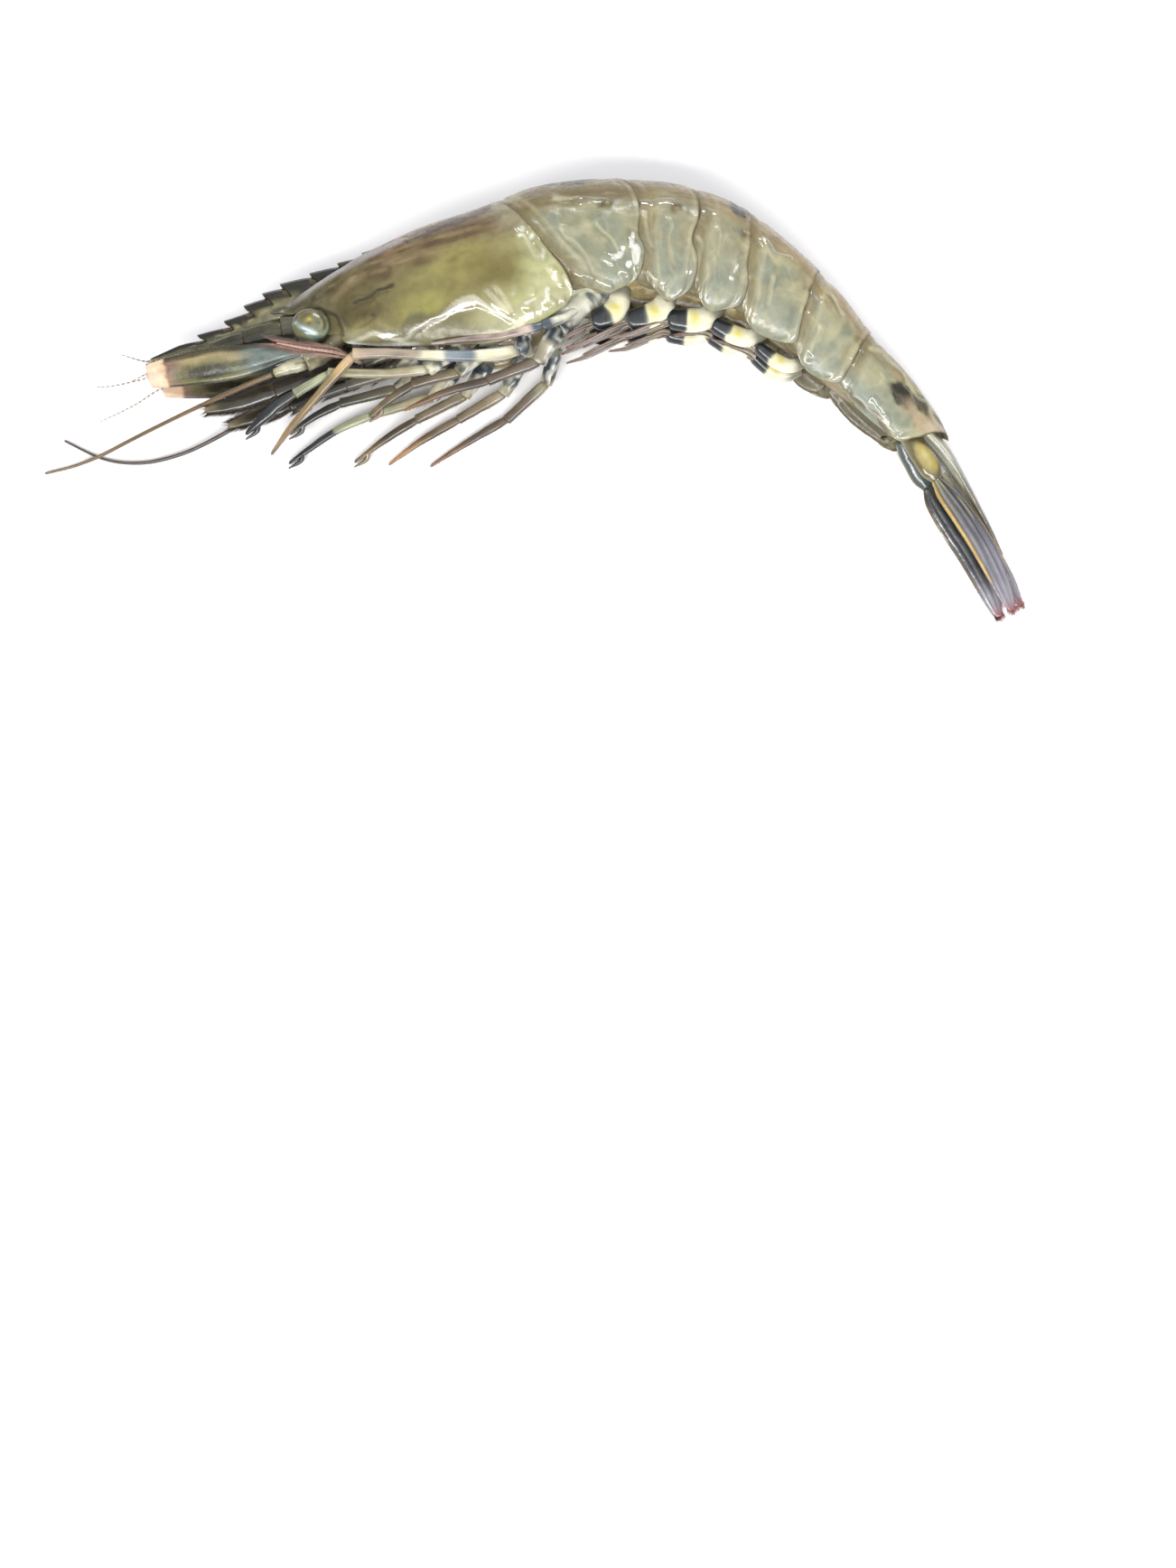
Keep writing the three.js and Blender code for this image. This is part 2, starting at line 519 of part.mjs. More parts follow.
function swimmer({ root, knee, depth, blade }, sign, grow = 0) {
  const narrow = bodyMeasure('half', root) / bodyMeasure('half', SWIMMERS[0].root);
  const side = STALK.side * sign * narrow;
  const stalk = [
    [root, -depth * 0.52, side * 0.9, STALK.half, STALK.thick],
    [root - 0.6, -depth * 0.82, side, STALK.half, STALK.thick],
    [root * 0.55 + knee * 0.45, -depth * 0.93, side * 1.05, STALK.half, STALK.thick],
    [knee + 1.2, -depth, side * 1.02, STALK.half * 0.9, STALK.thick],
    [knee, -depth * 1.02, side, STALK.half * 0.5, STALK.thick * 0.7],
  ];
  let body = solid(limb(stalk, { sides: 8, grow }));
  BLADES.forEach(({ share, shift, width }) => {
    const away = side + shift * narrow * sign;
    const half = BLADE.half * width * narrow;
    const reach = blade * share;
    const fall = (far) => -depth - BLADE.dip - BLADE.fall * Math.min(far / 11, 1.1);
    const petal = [
      [knee + 1.6, -depth, side + (away - side) * 0.35, 0.5, 0.8],
      [knee - 1.2, -depth - BLADE.dip, away, 0.7, 0.5],
      [knee - reach * 0.35, fall(reach * 0.35), away, half, BLADE.thick],
      [knee - reach * 0.7, fall(reach * 0.7), away, half * 0.8, BLADE.thick * 0.8],
      [knee - reach, fall(reach), away, half * 0.15, BLADE.thick * 0.5],
    ];
    body = body.add(solid(limb(petal, { roll: 90 * sign, grow })));
  });
  return body;
}

// ---- tail fan --------------------------------------------------------------------------

const TELSON = [
  [139.0, 2.4, 0, 1.5, 2.4],
  [143.5, 2.6, 0, 1.4, 2.7],
  [149, 2.4, 0, 1.1, 2.5],
  [156, 2.0, 0, 0.85, 1.9],
  [163, 1.6, 0, 0.6, 1.1],
  [168.5, 1.2, 0, 0.25, 0.3],
];
const FAN_STALK = [
  [136.6, -1.8, 2.2, 1.5, 1.2],
  [141, -2.2, 3.4, 2.2, 1.3],
  [145.5, -2.6, 3.9, 2.2, 1.2],
  [147.6, -2.8, 4.0, 1.2, 0.8],
];
const OUTER_BLADE = [
  [148.1, -3.0, 4.0, 1.1, 0.8],
  [151, -2.9, 4.4, 1.9, 0.8],
  [157, -2.6, 4.6, 2.3, 0.7],
  [164, -2.6, 4.5, 2.4, 0.6],
  [171, -3.2, 4.2, 2.1, 0.5],
  [176.5, -4.1, 3.8, 1.4, 0.4],
  [179.3, -4.6, 3.6, 0.6, 0.3],
];
const INNER_BLADE = [
  [148.1, -0.9, 2.4, 0.9, 0.7],
  [151.5, -0.8, 2.3, 1.6, 0.7],
  [158, -0.9, 2.1, 2.0, 0.6],
  [166, -1.1, 2.0, 2.0, 0.55],
  [173.5, -1.4, 1.9, 1.6, 0.45],
  [179.5, -1.7, 1.8, 0.6, 0.3],
];
const OUTER_ROLL = -8;
const INNER_ROLL = -25;
// The right-hand outer blade is spread a little further than the left one.
const RIGHT_SPREAD = 1.6;

function fanStalk(sign, grow = 0) {
  const stations = sign > 0 ? FAN_STALK : mirrored(FAN_STALK);
  return solid(limb(stations, { sides: 8, grow }));
}

function fanBlade(stations, roll, sign, spread = 0) {
  const placed = sign > 0
    ? stations
    : mirrored(stations).map(([a, o, s, w, t], i) => [a, o - spread * Math.min(i, 2) / 2, s, w, t]);
  return solid(limb(placed, { roll: roll * sign, sides: 8 }));
}

// ---- colours ------------------------------------------------------------------------------

function shellMaterial(color, roughness = 0.3) {
  return new THREE.MeshStandardMaterial({ color, roughness, metalness: 0 });
}

// ---- assembly -----------------------------------------------------------------------------

const prawn = new THREE.Group();

function place(name, body, color, roughness) {
  const mesh = new THREE.Mesh(geometryOf(body), shellMaterial(color, roughness));
  mesh.name = name;
  prawn.add(mesh);
}

const SIDES = [['left', 1], ['right', -1]];

function cutFor(body, guests) {
  return guests.reduce((rest, guest) => rest.subtract(guest), body);
}

const FORE_SHARES = [0, 0.06, 0.16, 0.28, 0.4, 0.52, 0.64, 0.76, 0.88, 1];
const RING_SHARES = [0, 0.12, 0.35, 0.6, 0.82, 1];

function carapace() {
  const guests = [];
  SIDES.forEach(([, sign]) => {
    const legs = sign > 0 ? LEFT_LEGS : RIGHT_LEGS;
    legs.forEach((stations, pair) => guests.push(leg(stations, pair < PINCER_PAIRS, GAP)));
    guests.push(jawFoot(sign, GAP));
    guests.push(eye(sign, GAP), antennule(sign, GAP), feelerBase(sign, GAP), scale(sign, GAP));
  });
  const shell = solid(shellRing({ front: CARAPACE_FRONT, rear: RIMS[0], shares: FORE_SHARES }));
  return cutFor(shell.add(solid(rostrum())), guests);
}

function abdomenRing(index) {
  const guests = SIDES.flatMap(([, sign]) => [
    ...SWIMMERS.map((one) => swimmer(one, sign, GAP)),
    leg((sign > 0 ? LEFT_LEGS : RIGHT_LEGS)[4], false, GAP),
  ]);
  if (index === RIMS.length - 1) {
    guests.push(solid(limb(TELSON, { sides: 8, grow: GAP })));
    SIDES.forEach(([, sign]) => guests.push(fanStalk(sign, GAP)));
  }
  const shell = solid(shellRing({
    front: moved(RIMS[index - 1], RIM_GAP),
    rear: RIMS[index],
    shares: RING_SHARES,
  }));
  return cutFor(shell, guests);
}

place('carapace', carapace(), 0x8c8a5e, 0.25);
for (let index = 1; index < RIMS.length; index += 1) {
  place(`abdomen_${index}`, abdomenRing(index), 0x94927a, 0.3);
}
place('telson', solid(limb(TELSON, { sides: 8 })), 0x8a8c70, 0.35);

SIDES.forEach(([hand, sign]) => {
  place(`eye_${hand}`, eye(sign), 0x3c4438, 0.1);
  place(`antennule_${hand}`, antennule(sign), 0x5d6238, 0.4);
  place(`antennal_scale_${hand}`, scale(sign), 0x6f7048, 0.35);
  place(`antenna_base_${hand}`, feelerBase(sign), 0xb9b08a, 0.4);
  place(`antenna_${hand}`, feeler(sign > 0 ? LEFT_FEELER : RIGHT_FEELER), 0x6c5f45, 0.5);
  place(`maxilliped_${hand}`, jawFoot(sign), 0x34302c, 0.5);
  (sign > 0 ? LEFT_LEGS : RIGHT_LEGS).forEach((stations, pair) => {
    place(`leg_${pair + 1}_${hand}`, leg(stations, pair < PINCER_PAIRS), 0x9a8560, 0.45);
  });
  SWIMMERS.forEach((one, pair) => {
    place(`swimmer_${pair + 1}_${hand}`, swimmer(one, sign), 0x77704a, 0.45);
  });
  place(`tail_stalk_${hand}`, fanStalk(sign), 0x9c9350, 0.35);
  place(`tail_outer_${hand}`, fanBlade(OUTER_BLADE, OUTER_ROLL, sign, RIGHT_SPREAD), 0x232a33, 0.3);
  place(`tail_inner_${hand}`, fanBlade(INNER_BLADE, INNER_ROLL, sign), 0x6c6774, 0.3);
});

export default prawn;
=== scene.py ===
import math
from types import SimpleNamespace

import bpy
import numpy as np
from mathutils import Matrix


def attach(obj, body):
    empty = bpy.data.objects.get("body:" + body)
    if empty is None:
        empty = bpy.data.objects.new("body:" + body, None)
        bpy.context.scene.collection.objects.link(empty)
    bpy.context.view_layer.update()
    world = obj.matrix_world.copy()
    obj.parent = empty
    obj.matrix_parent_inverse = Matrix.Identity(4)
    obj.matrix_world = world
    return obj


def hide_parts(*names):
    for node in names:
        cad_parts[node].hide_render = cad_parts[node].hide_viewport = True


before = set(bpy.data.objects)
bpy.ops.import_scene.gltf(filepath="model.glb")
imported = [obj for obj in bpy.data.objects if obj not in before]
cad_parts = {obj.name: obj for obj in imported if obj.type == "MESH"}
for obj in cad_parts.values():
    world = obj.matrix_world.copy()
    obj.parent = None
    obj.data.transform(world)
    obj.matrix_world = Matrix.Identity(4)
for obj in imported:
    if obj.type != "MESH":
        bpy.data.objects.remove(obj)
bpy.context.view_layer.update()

# ---- Fore shell ----------------------------------------------------------------------
# The carapace is one stiff, thin, glassy shell of horn over the head and the gills. It is
# wet, and the olive gill chamber and the dull gold liver show through it. It grew in one
# piece, open below, and soft skin joins its rear edge to the tail.

MM = 0.001

# The animal is laid out in body measures, in mm: "along" runs from the eye socket to the
# tail, "out" from the middle line to the back (+) or belly (-), "side" to the left (+).
EYE_SOCKET = (-41.74, 17.66)
STIFF_END = 54.0                    # the fore body is straight up to here
SETTLE = 0.35                       # the shell presses flat by this much where it lies
LINE_STEP = 0.5
LINE_END = 182.0
BODY = {
    "along": [0, 10, 23, 35, 46, 54, 62.7, 75, 82, 89, 95, 101.6, 115.6, 127, 139.5, 146, 152,
              182],
    "heading": [14.5, 13.6, 12.2, 12.2, 13, 11.5, 6, -8, -19, -29.5, -36, -41, -45.5, -46.5, -48,
                -54, -56, -56],
    "back": [5.2, 8.7, 11.4, 12.6, 14.5, 14.2, 13.2, 11.6, 10.7, 9.6, 8.9, 8.6, 7.4, 7.3, 6.2, 4,
             3, 3],
    "belly": [9.7, 12.4, 15, 17, 15.4, 14.4, 15, 15.2, 14.7, 13.6, 12.4, 10.8, 8.6, 6.2, 4.4, 4,
              3, 3],
    "half": [5.9, 9, 11.3, 12.3, 12.5, 12.3, 12, 11.5, 11, 10.4, 9.7, 9, 7.7, 6.5, 5, 4.6, 4.4,
             3.4],
}


def curve_through(places, values, query):
    """A smooth curve through the values at these places, read at every query."""
    places, values = np.asarray(places, float), np.asarray(values, float)
    last = len(places) - 1
    low = np.maximum(np.arange(last + 1) - 1, 0)
    high = np.minimum(np.arange(last + 1) + 1, last)
    slope = (values[high] - values[low]) / (places[high] - places[low])
    x = np.clip(query, places[0], places[-1])
    i = np.clip(np.searchsorted(places, x, side="right") - 1, 0, last - 1)
    span = places[i + 1] - places[i]
    t = (x - places[i]) / span
    rise = t * t * (3 - 2 * t)
    bend = slope[i] * t * (1 - t) ** 2 - slope[i + 1] * t * t * (1 - t)
    return values[i] * (1 - rise) + values[i + 1] * rise + span * bend


def measure(name, along):
    return curve_through(BODY["along"], BODY[name], along)


line_places = np.arange(0, LINE_END + LINE_STEP / 2, LINE_STEP)
line_headings = np.radians(measure("heading", line_places[:-1] + LINE_STEP / 2))
line_x = EYE_SOCKET[0] + np.append(0, np.cumsum(LINE_STEP * np.cos(line_headings)))
line_y = EYE_SOCKET[1] + np.append(0, np.cumsum(LINE_STEP * np.sin(line_headings)))


def body_point(along, out, side):
    """Points in metres, never below the table that the animal lies on."""
    along, out, side = np.broadcast_arrays(*(np.asarray(v, float) for v in (along, out, side)))
    heading = np.radians(measure("heading", along))
    ahead = np.minimum(along, 0)
    x = np.interp(along, line_places, line_x) + ahead * np.cos(heading) - np.sin(heading) * out
    y = np.interp(along, line_places, line_y) + ahead * np.sin(heading) + np.cos(heading) * out
    z = measure("half", np.maximum(along, STIFF_END)) - SETTLE + side
    return np.stack([x, y, np.maximum(z, 0)], -1) * MM


def shade(text):
    """The colour of a paint chip, given as it looks, in the values that light adds up in."""
    value = np.array([int(text[i:i + 2], 16) for i in (1, 3, 5)]) / 255
    return np.where(value <= 0.04045, value / 12.92, ((value + 0.055) / 1.055) ** 2.4)


def ease(low, high, value):
    t = np.clip((value - low) / (high - low), 0, 1)
    return t * t * (3 - 2 * t)


def plain(text, mm):
    """One even colour at every point."""
    return np.broadcast_to(shade(text), mm.shape)


def tinted(base, text, amount):
    amount = np.clip(amount, 0, 1)[..., None]
    return base * (1 - amount) + shade(text) * amount


def layered(tint, *coats):
    """Thin coats laid over each other, each a colour and how much of it covers."""
    for text, amount in coats:
        tint = tinted(tint, text, amount)
    return tint


def from_centre(place, centre, size, lean):
    """The squared distance from the middle of an oval, 1 at its edge; lean turns it, in degrees."""
    a, o = place.along - centre[0], place.out - centre[1]
    turn = math.radians(lean)
    u = (a * math.cos(turn) + o * math.sin(turn)) / size[0]
    v = (o * math.cos(turn) - a * math.sin(turn)) / size[1]
    return u * u + v * v


def blot(place, centre, size, lean=0.0):
    """A soft oval patch on the side of the body."""
    return np.exp(-from_centre(place, centre, size, lean) ** 1.3)


def stroke(place, route, width):
    """A thin mark that follows a route of (along, out) points on the side of the body."""
    nearest = np.full(place.along.shape, 1e9)
    for (a0, o0), (a1, o1) in zip(route, route[1:]):
        da, do = a1 - a0, o1 - o0
        t = ((place.along - a0) * da + (place.out - o0) * do) / (da * da + do * do)
        t = np.clip(t, 0, 1)
        gap = np.hypot(place.along - a0 - t * da, place.out - o0 - t * do)
        nearest = np.minimum(nearest, gap)
    return 1 - ease(width * 0.25, width, nearest)


def grain(points, size, seed):
    """A soft random value from -1 to 1 at each point; size is the width of its patches."""
    scaled = np.asarray(points, float) / size
    cell = np.floor(scaled).astype(np.int64)
    part = scaled - cell
    part = part * part * (3 - 2 * part)
    total = np.zeros(scaled.shape[:-1])
    for corner in np.ndindex(2, 2, 2):
        c = cell + np.array(corner)
        key = (c[..., 0] * 374761393 + c[..., 1] * 668265263 + c[..., 2] * 1442695041
               + seed * 1274126177) & 0xFFFFFFFF
        key = ((key ^ (key >> 13)) * 1274126177) & 0xFFFFFFFF
        value = ((key ^ (key >> 16)) & 0xFFFF) / 32767.5 - 1
        total += value * np.prod(np.where(np.array(corner) == 1, part, 1 - part), axis=-1)
    return total


def place_mm(place):
    return np.stack([place.along, place.out, place.side], -1)


def warped(place, shift, size, seed):
    """The same places, pushed about a little, so that marks on them waver as grown ones do."""
    mm = place_mm(place)
    return SimpleNamespace(**{**vars(place), "along": place.along + shift * grain(mm, size, seed),
                              "out": place.out + shift * grain(mm, size, seed + 1)})


# The cut through a shell: an arch from the back down each side, a thin flap that hangs
# below it, and the belly's floor between the flaps. Shares of half width and of depth.
FLAP_ANGLE = 138.0
FLAP_POWER = 3.0
ARCH_STEP = 1.2
FLAP_LOBE = 0.12
INSIDE = [
    (0.75, -1.0), (0.7, -0.985), (0.655, -0.9), (0.62, -0.78), (0.55, -0.68), (0.4, -0.61),
    (0.2, -0.585), (0.0, -0.58),
]
INSIDE_POINTS = 16
TUCK = 0.22                          # how far the front of a shell dips, in mm
FLARE = 0.05                         # how far its rear edge stands up
FACE_SLIM, FACE_END, FACE_ROUND = 0.125, 6.5, 0.004    # the shell narrows ahead of the eyes
FACE_LOW = 0.035
REAR_CAP = 2.2                       # the cap inside the rear rim lies this far in


def flap_reach(angle):
    side = np.abs(np.sin(np.radians(angle))) ** FLAP_POWER
    down = np.abs(np.cos(np.radians(angle))) ** FLAP_POWER
    return (side + down) ** (-1 / FLAP_POWER)


def cross_section():
    angle = np.arange(0, FLAP_ANGLE + ARCH_STEP / 2, ARCH_STEP)
    reach = np.where(angle > 90, flap_reach(angle), 1)
    side = np.sin(np.radians(angle)) * reach
    out = np.cos(np.radians(angle)) * reach
    depth = abs(math.cos(math.radians(FLAP_ANGLE))) * flap_reach(FLAP_ANGLE)
    out = np.where(angle > 90, out / depth, out)
    steps = np.linspace(0, len(INSIDE) - 1, INSIDE_POINTS)[1:]
    inside = [curve_through(range(len(INSIDE)), [p[k] for p in INSIDE], steps) for k in (0, 1)]
    angle = np.append(angle, np.full(len(steps), FLAP_ANGLE))
    outer = np.append(np.ones(len(side)), np.zeros(len(steps)))
    side, out = np.append(side, inside[0]), np.append(out, inside[1])
    back_again = slice(-2, 0, -1)
    return SimpleNamespace(
        angle=np.append(angle, angle[back_again]),
        side=np.append(side, -side[back_again]),
        out=np.append(out, out[back_again]),
        outer=np.append(outer, outer[back_again]),
    )


SECTION = cross_section()


def rim_at(rim, angle):
    """Where a rim (back, side, flap) crosses the section at this angle."""
    back, side, flap = rim
    t = angle / FLAP_ANGLE
    middle = 90 / FLAP_ANGLE
    return (back * (t - middle) * (t - 1) / middle
            + side * t * (t - 1) / (middle * (middle - 1))
            + flap * t * (t - middle) / (1 - middle))


def edge_line(rim, lobe, gap=0.0):
    """A rim that bends into a lobe: lobe gives its places low on the side and on the flap."""
    upper = [0, 20, 40, 60, 80, 98]
    side, low, flap = lobe
    below = [side, low, low + 0.3 * (flap - low), flap]
    values = [rim_at(rim, angle) + gap for angle in upper] + below
    return curve_through(upper + [112, 127, 134, FLAP_ANGLE], values, SECTION.angle)


# Rows of a shell as (share of the way to the rear rim, mm further, stand of the surface).
REAR_LIP = [(1, 0.08, 0.01), (1, 0.11, -0.08), (1, 0.05, -0.18), (1, -0.6, -0.28), (1, -2.0, -0.4)]
OPEN_FRONT = [(0, 3.0, -1.2), (0, 1.2, -0.95), (0, 0.2, -0.8), (0, -0.06, -0.65)]
TUCKED_FRONT = [(0, -3.0, -1.0), (0, -2.0, -0.85), (0, -1.0, -0.62), (0, -0.4, -0.42)]


def shell_surface(front, rear, rows, front_rows, relief, depth=1.0):
    """The points of one shell, with what is needed to paint them."""
    shares = np.linspace(0, 1, rows)
    stands = FLARE * shares ** 3 - TUCK * (1 - shares) ** 6
    plan = front_rows + [(t, 0.0, s) for t, s in zip(shares, stands)] + REAR_LIP
    share, push, stand = (np.array(v)[:, None] for v in zip(*plan))
    along = front + (rear - front) * share + push
    ahead = np.minimum(along, 0)
    slim = 1 - FACE_SLIM * np.minimum(-ahead, FACE_END) + FACE_ROUND * ahead ** 2
    low = 1 + FACE_LOW * ahead
    lobe = depth * (1 - FLAP_LOBE * np.abs(2 * share - 1) ** 2.5)
    back, belly = measure("back", along) * low, measure("belly", along)
    half = measure("half", along) * slim
    lower = SECTION.out <= 0
    place = SimpleNamespace(
        along=along,
        out=SECTION.out * np.where(lower, belly * lobe, back),
        side=SECTION.side * half,
        height=SECTION.out + 0 * along,
        angle=SECTION.angle + 0 * along,
        outer=SECTION.outer + 0 * along,
        from_front=along - front,
        to_rear=rear - along,
        main=((push == 0) & (share > 0)) + 0 * along,
    )
    stand = stand + relief(place) * place.main * place.outer
    reach = np.where(lower, (belly + stand) * lobe, back + stand)
    place.points = body_point(along, SECTION.out * reach, SECTION.side * (half + stand))
    place.ends = (body_point(np.mean(front) + front_rows[0][1], 0, 0),
                  body_point(np.mean(rear) - REAR_CAP, 0, 0))
    return place


def wrapped(points, ends, tint, marks, wet=0.5):
    """A closed skin over rows of points that run round a body, shut at both ends."""
    rows, columns = points.shape[:2]
    verts = np.concatenate([points.reshape(-1, 3), np.array(ends)])
    row = (np.arange(rows - 1) * columns)[:, None]
    this, after = np.arange(columns)[None, :], (np.arange(columns)[None, :] + 1) % columns
    quads = np.stack([row + this, row + after, row + columns + after, row + columns + this], -1)
    here, there = np.arange(columns), (np.arange(columns) + 1) % columns
    last = (rows - 1) * columns
    front = np.stack([np.full(columns, rows * columns), there, here], -1)
    rear = np.stack([np.full(columns, rows * columns + 1), last + here, last + there], -1)
    corners = [quads.reshape(-1, 4)[:, :3], quads.reshape(-1, 4)[:, [0, 2, 3]], front, rear]
    triangles = np.concatenate(corners)
    a, b, c = (verts[triangles[:, k]] for k in range(3))
    inside_out = np.einsum("ij,ij->i", a, np.cross(b, c)).sum() < 0
    faces = quads.reshape(-1, 4).tolist() + front.tolist() + rear.tolist()
    if inside_out:
        faces = [face[::-1] for face in faces]
    wet = np.broadcast_to(np.asarray(wet, float)[..., None], tint.shape)
    painted = [np.concatenate([v.reshape(-1, 3), v[0].mean(0)[None], v[-1].mean(0)[None]])
               for v in (tint, marks, wet)]
    return verts, faces, *painted


def assemble(name, chunks, material, nodes=()):
    """Joins skins into one piece, with its paint on it, and sets it on the frame."""
    faces, count = [], 0
    for chunk in chunks:
        faces += [[i + count for i in face] for face in chunk[1]]
        count += len(chunk[0])
    verts, tint, marks = (np.concatenate([chunk[k] for chunk in chunks]) for k in (0, 2, 3))
    wet = np.concatenate([chunk[4][:, 0] for chunk in chunks])
    mesh = bpy.data.meshes.new(name)
    mesh.from_pydata(verts.tolist(), [], faces)
    mesh.polygons.foreach_set("use_smooth", [True] * len(mesh.polygons))
    for attribute, kind, field, values in (
            ("tint", "FLOAT_COLOR", "color", np.append(tint, np.ones((count, 1)), axis=1)),
            ("marks", "FLOAT_VECTOR", "vector", marks),
            ("wet", "FLOAT", "value", wet)):
        mesh.attributes.new(attribute, kind, "POINT").data.foreach_set(field, values.ravel())
    mesh.materials.append(material)
    piece = bpy.data.objects.new(name, mesh)
    bpy.context.scene.collection.objects.link(piece)
    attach(piece, "root")
    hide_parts(*nodes)


def shell_marks(place):
    """Where the fine grain of the shell is drawn: mm along, round the body, and side."""
    hand = np.sign(SECTION.side + 1e-9)
    round_body = np.radians(place.angle) * measure("half", place.along) * hand
    return np.stack([place.along, round_body, place.side], -1)


WET_DARKENING = 0.88                 # wet horn looks darker than it is when dry


def wet_material(name, mottle, speckle, ripple, dull=0.32, pores=0.02, film=0.9):
    """Wet horn: paint with soft mottling and pinpoint spots under an uneven film of water."""
    material = bpy.data.materials.new(name)
    material.use_nodes = True
    nodes, links = material.node_tree.nodes, material.node_tree.links
    surface = nodes["Principled BSDF"]

    def plug(node, sockets):
        """Sets inputs of a node, each to the output of another node or to a plain value."""
        for key, value in sockets.items():
            if isinstance(value, bpy.types.NodeSocket):
                links.new(value, node.inputs[key])
            else:
                node.inputs[key].default_value = value

    def add(kind, sockets, **settings):
        node = nodes.new(kind)
        for key, value in settings.items():
            setattr(node, key, value)
        plug(node, sockets)
        return node

    def painted(attribute, output):
        return add("ShaderNodeAttribute", {}, attribute_name=attribute).outputs[output]

    def noise(vector, scale, detail):
        sockets = {"Vector": vector, "Scale": scale, "Detail": detail}
        return add("ShaderNodeTexNoise", sockets).outputs["Fac"]

    def remap(value, low, high, to_low, to_high):
        return add("ShaderNodeMapRange", {
            "Value": value, "From Min": low, "From Max": high, "To Min": to_low, "To Max": to_high,
        }).outputs["Result"]

    def bump(height, distance, **normal):
        sockets = {"Strength": 1.0, "Distance": distance * MM, "Height": height, **normal}
        return add("ShaderNodeBump", sockets).outputs[0]

    marks = painted("marks", "Vector")
    streaks = add("ShaderNodeVectorMath", {0: marks, 1: (0.35, 1.0, 1.0)}, operation="MULTIPLY")
    clouds = remap(noise(streaks.outputs[0], 0.45, 5), 0.3, 0.7,
                   WET_DARKENING * (1 - mottle), WET_DARKENING * (1 + mottle))
    cloudy = add("ShaderNodeVectorMath", {0: painted("tint", "Color"), "Scale": clouds},
                 operation="SCALE")
    spots = add("ShaderNodeTexVoronoi", {"Vector": marks, "Scale": 1.9, "Randomness": 1.0})
    dots = remap(spots.outputs["Distance"], 0.1, 0.22, 1.0, 0.0)
    where = remap(noise(marks, 0.25, 2), 0.45, 0.62, 0.0, speckle)
    share = add("ShaderNodeMath", {0: dots, 1: where}, operation="MULTIPLY")
    dotted = add("ShaderNodeMix", {
        "Factor": share.outputs[0], "A": cloudy.outputs[0], "B": (*shade("#4a4029"), 1),
    }, data_type="RGBA")
    swell = bump(noise(marks, 0.42, 2), ripple)
    puddles = remap(noise(marks, 0.6, 3), 0.35, 0.65, 0.6 * film, 1.2 * film)
    water = add("ShaderNodeMath", {0: painted("wet", "Fac"), 1: puddles},
                operation="MULTIPLY", use_clamp=True)
    plug(surface, {
        "Base Color": dotted.outputs["Result"],
        "Normal": bump(noise(marks, 3.2, 4), pores, Normal=swell),
        "Roughness": remap(noise(marks, 0.9, 3), 0.3, 0.7, dull - 0.1, dull + 0.12),
        "IOR": 1.45,
        "Coat Weight": water.outputs[0],
        "Coat Normal": swell,
        "Coat Roughness": 0.06,
        "Coat IOR": 1.75,
        "Subsurface Weight": 0.12,
        "Subsurface Radius": (1.0, 0.8, 0.5),
        "Subsurface Scale": 0.8 * MM,
    })
    return material


# The front edge by angle: it runs out under the beak, notches back behind the eye, has a
# spine below the eye and a round corner at the mouth.
CARAPACE_FRONT = {
    "angle": [0, 40, 58, 70, 82, 93, 100, 108, 117, 122, 128, 138],
    "along": [-5.6, -7.8, -10.6, -8.6, -6.8, -3.2, -1.0, 0.2, 0.2, -0.9, 0.6, 3.2],
}
CARAPACE_REAR = (35.5, 45.6, 51.5)
CARAPACE_LOBE = (48.6, 49.6, 45.5)
CARAPACE_ROWS = 176
BACK_LINES = [
    [(8, 6.6), (16, 8.0), (24, 9.0), (30.2, 9.7), (37, 11.0)],
    [(13, 5.6), (20, 6.6), (27, 7.8), (34, 9.0)],
    [(24, 8.0), (31, 8.8), (36.5, 9.8)],
]
CHEEK_RIDGE = [(-8.5, 2.0), (-3, 3.0), (5, 4.6), (12, 5.8), (18.5, 6.8)]
GILL_RIDGE = [
    (1, -9.7), (7, -10.1), (12, -11.0), (15.2, -12.4), (19, -11.6), (24.8, -10.2), (30.8, -10.1),
    (33, -11.8), (36.2, -14.3),
]
LEDGE_WIDTHS = [
    (0, 0.2), (2.5, 0.5), (12, 0.7), (15.5, 0.9), (19, 0.8), (25, 1.3), (28.5, 2.2), (31.5, 1.9),
    (33.5, 1.0), (36.5, 0.6), (38, 0.1),
]
LEDGE_SLOPE = 0.3
LIP_WET = 0.9
GILL_FOLDS = [
    [(33.2, -7.6), (34.4, -9.6), (36.4, -12.6)],
    [(34.8, -7.4), (36.2, -10.0), (37.4, -12.4)],
]
LIVER_STREAK = [(6.5, -2.9), (11, -2.3), (15, -1.4)]
LIVER_EDGE = [(2.6, -1.0), (5.2, 0.6), (9, 1.6), (13.8, 1.9), (18, 2.9), (24, 2.8)]
ORBIT = [(-6.6, -0.3), (-3.2, -0.4), (-0.6, -1.1), (1.4, -2.7), (2.6, -4.8), (3.0, -7.4)]
REAR_FOLDS = [
    [(41.4, 3.6), (43.0, 0.6), (44.6, -2.4)],
    [(46.4, -5.5), (47.4, -7.4), (47.8, -9.5)],
    [(49.2, -8.6), (49.9, -10.6), (49.6, -12.2)],
    [(44.6, -10.6), (45.8, -12.6)],
    [(47.2, -12.4), (48.4, -14.6)],
]
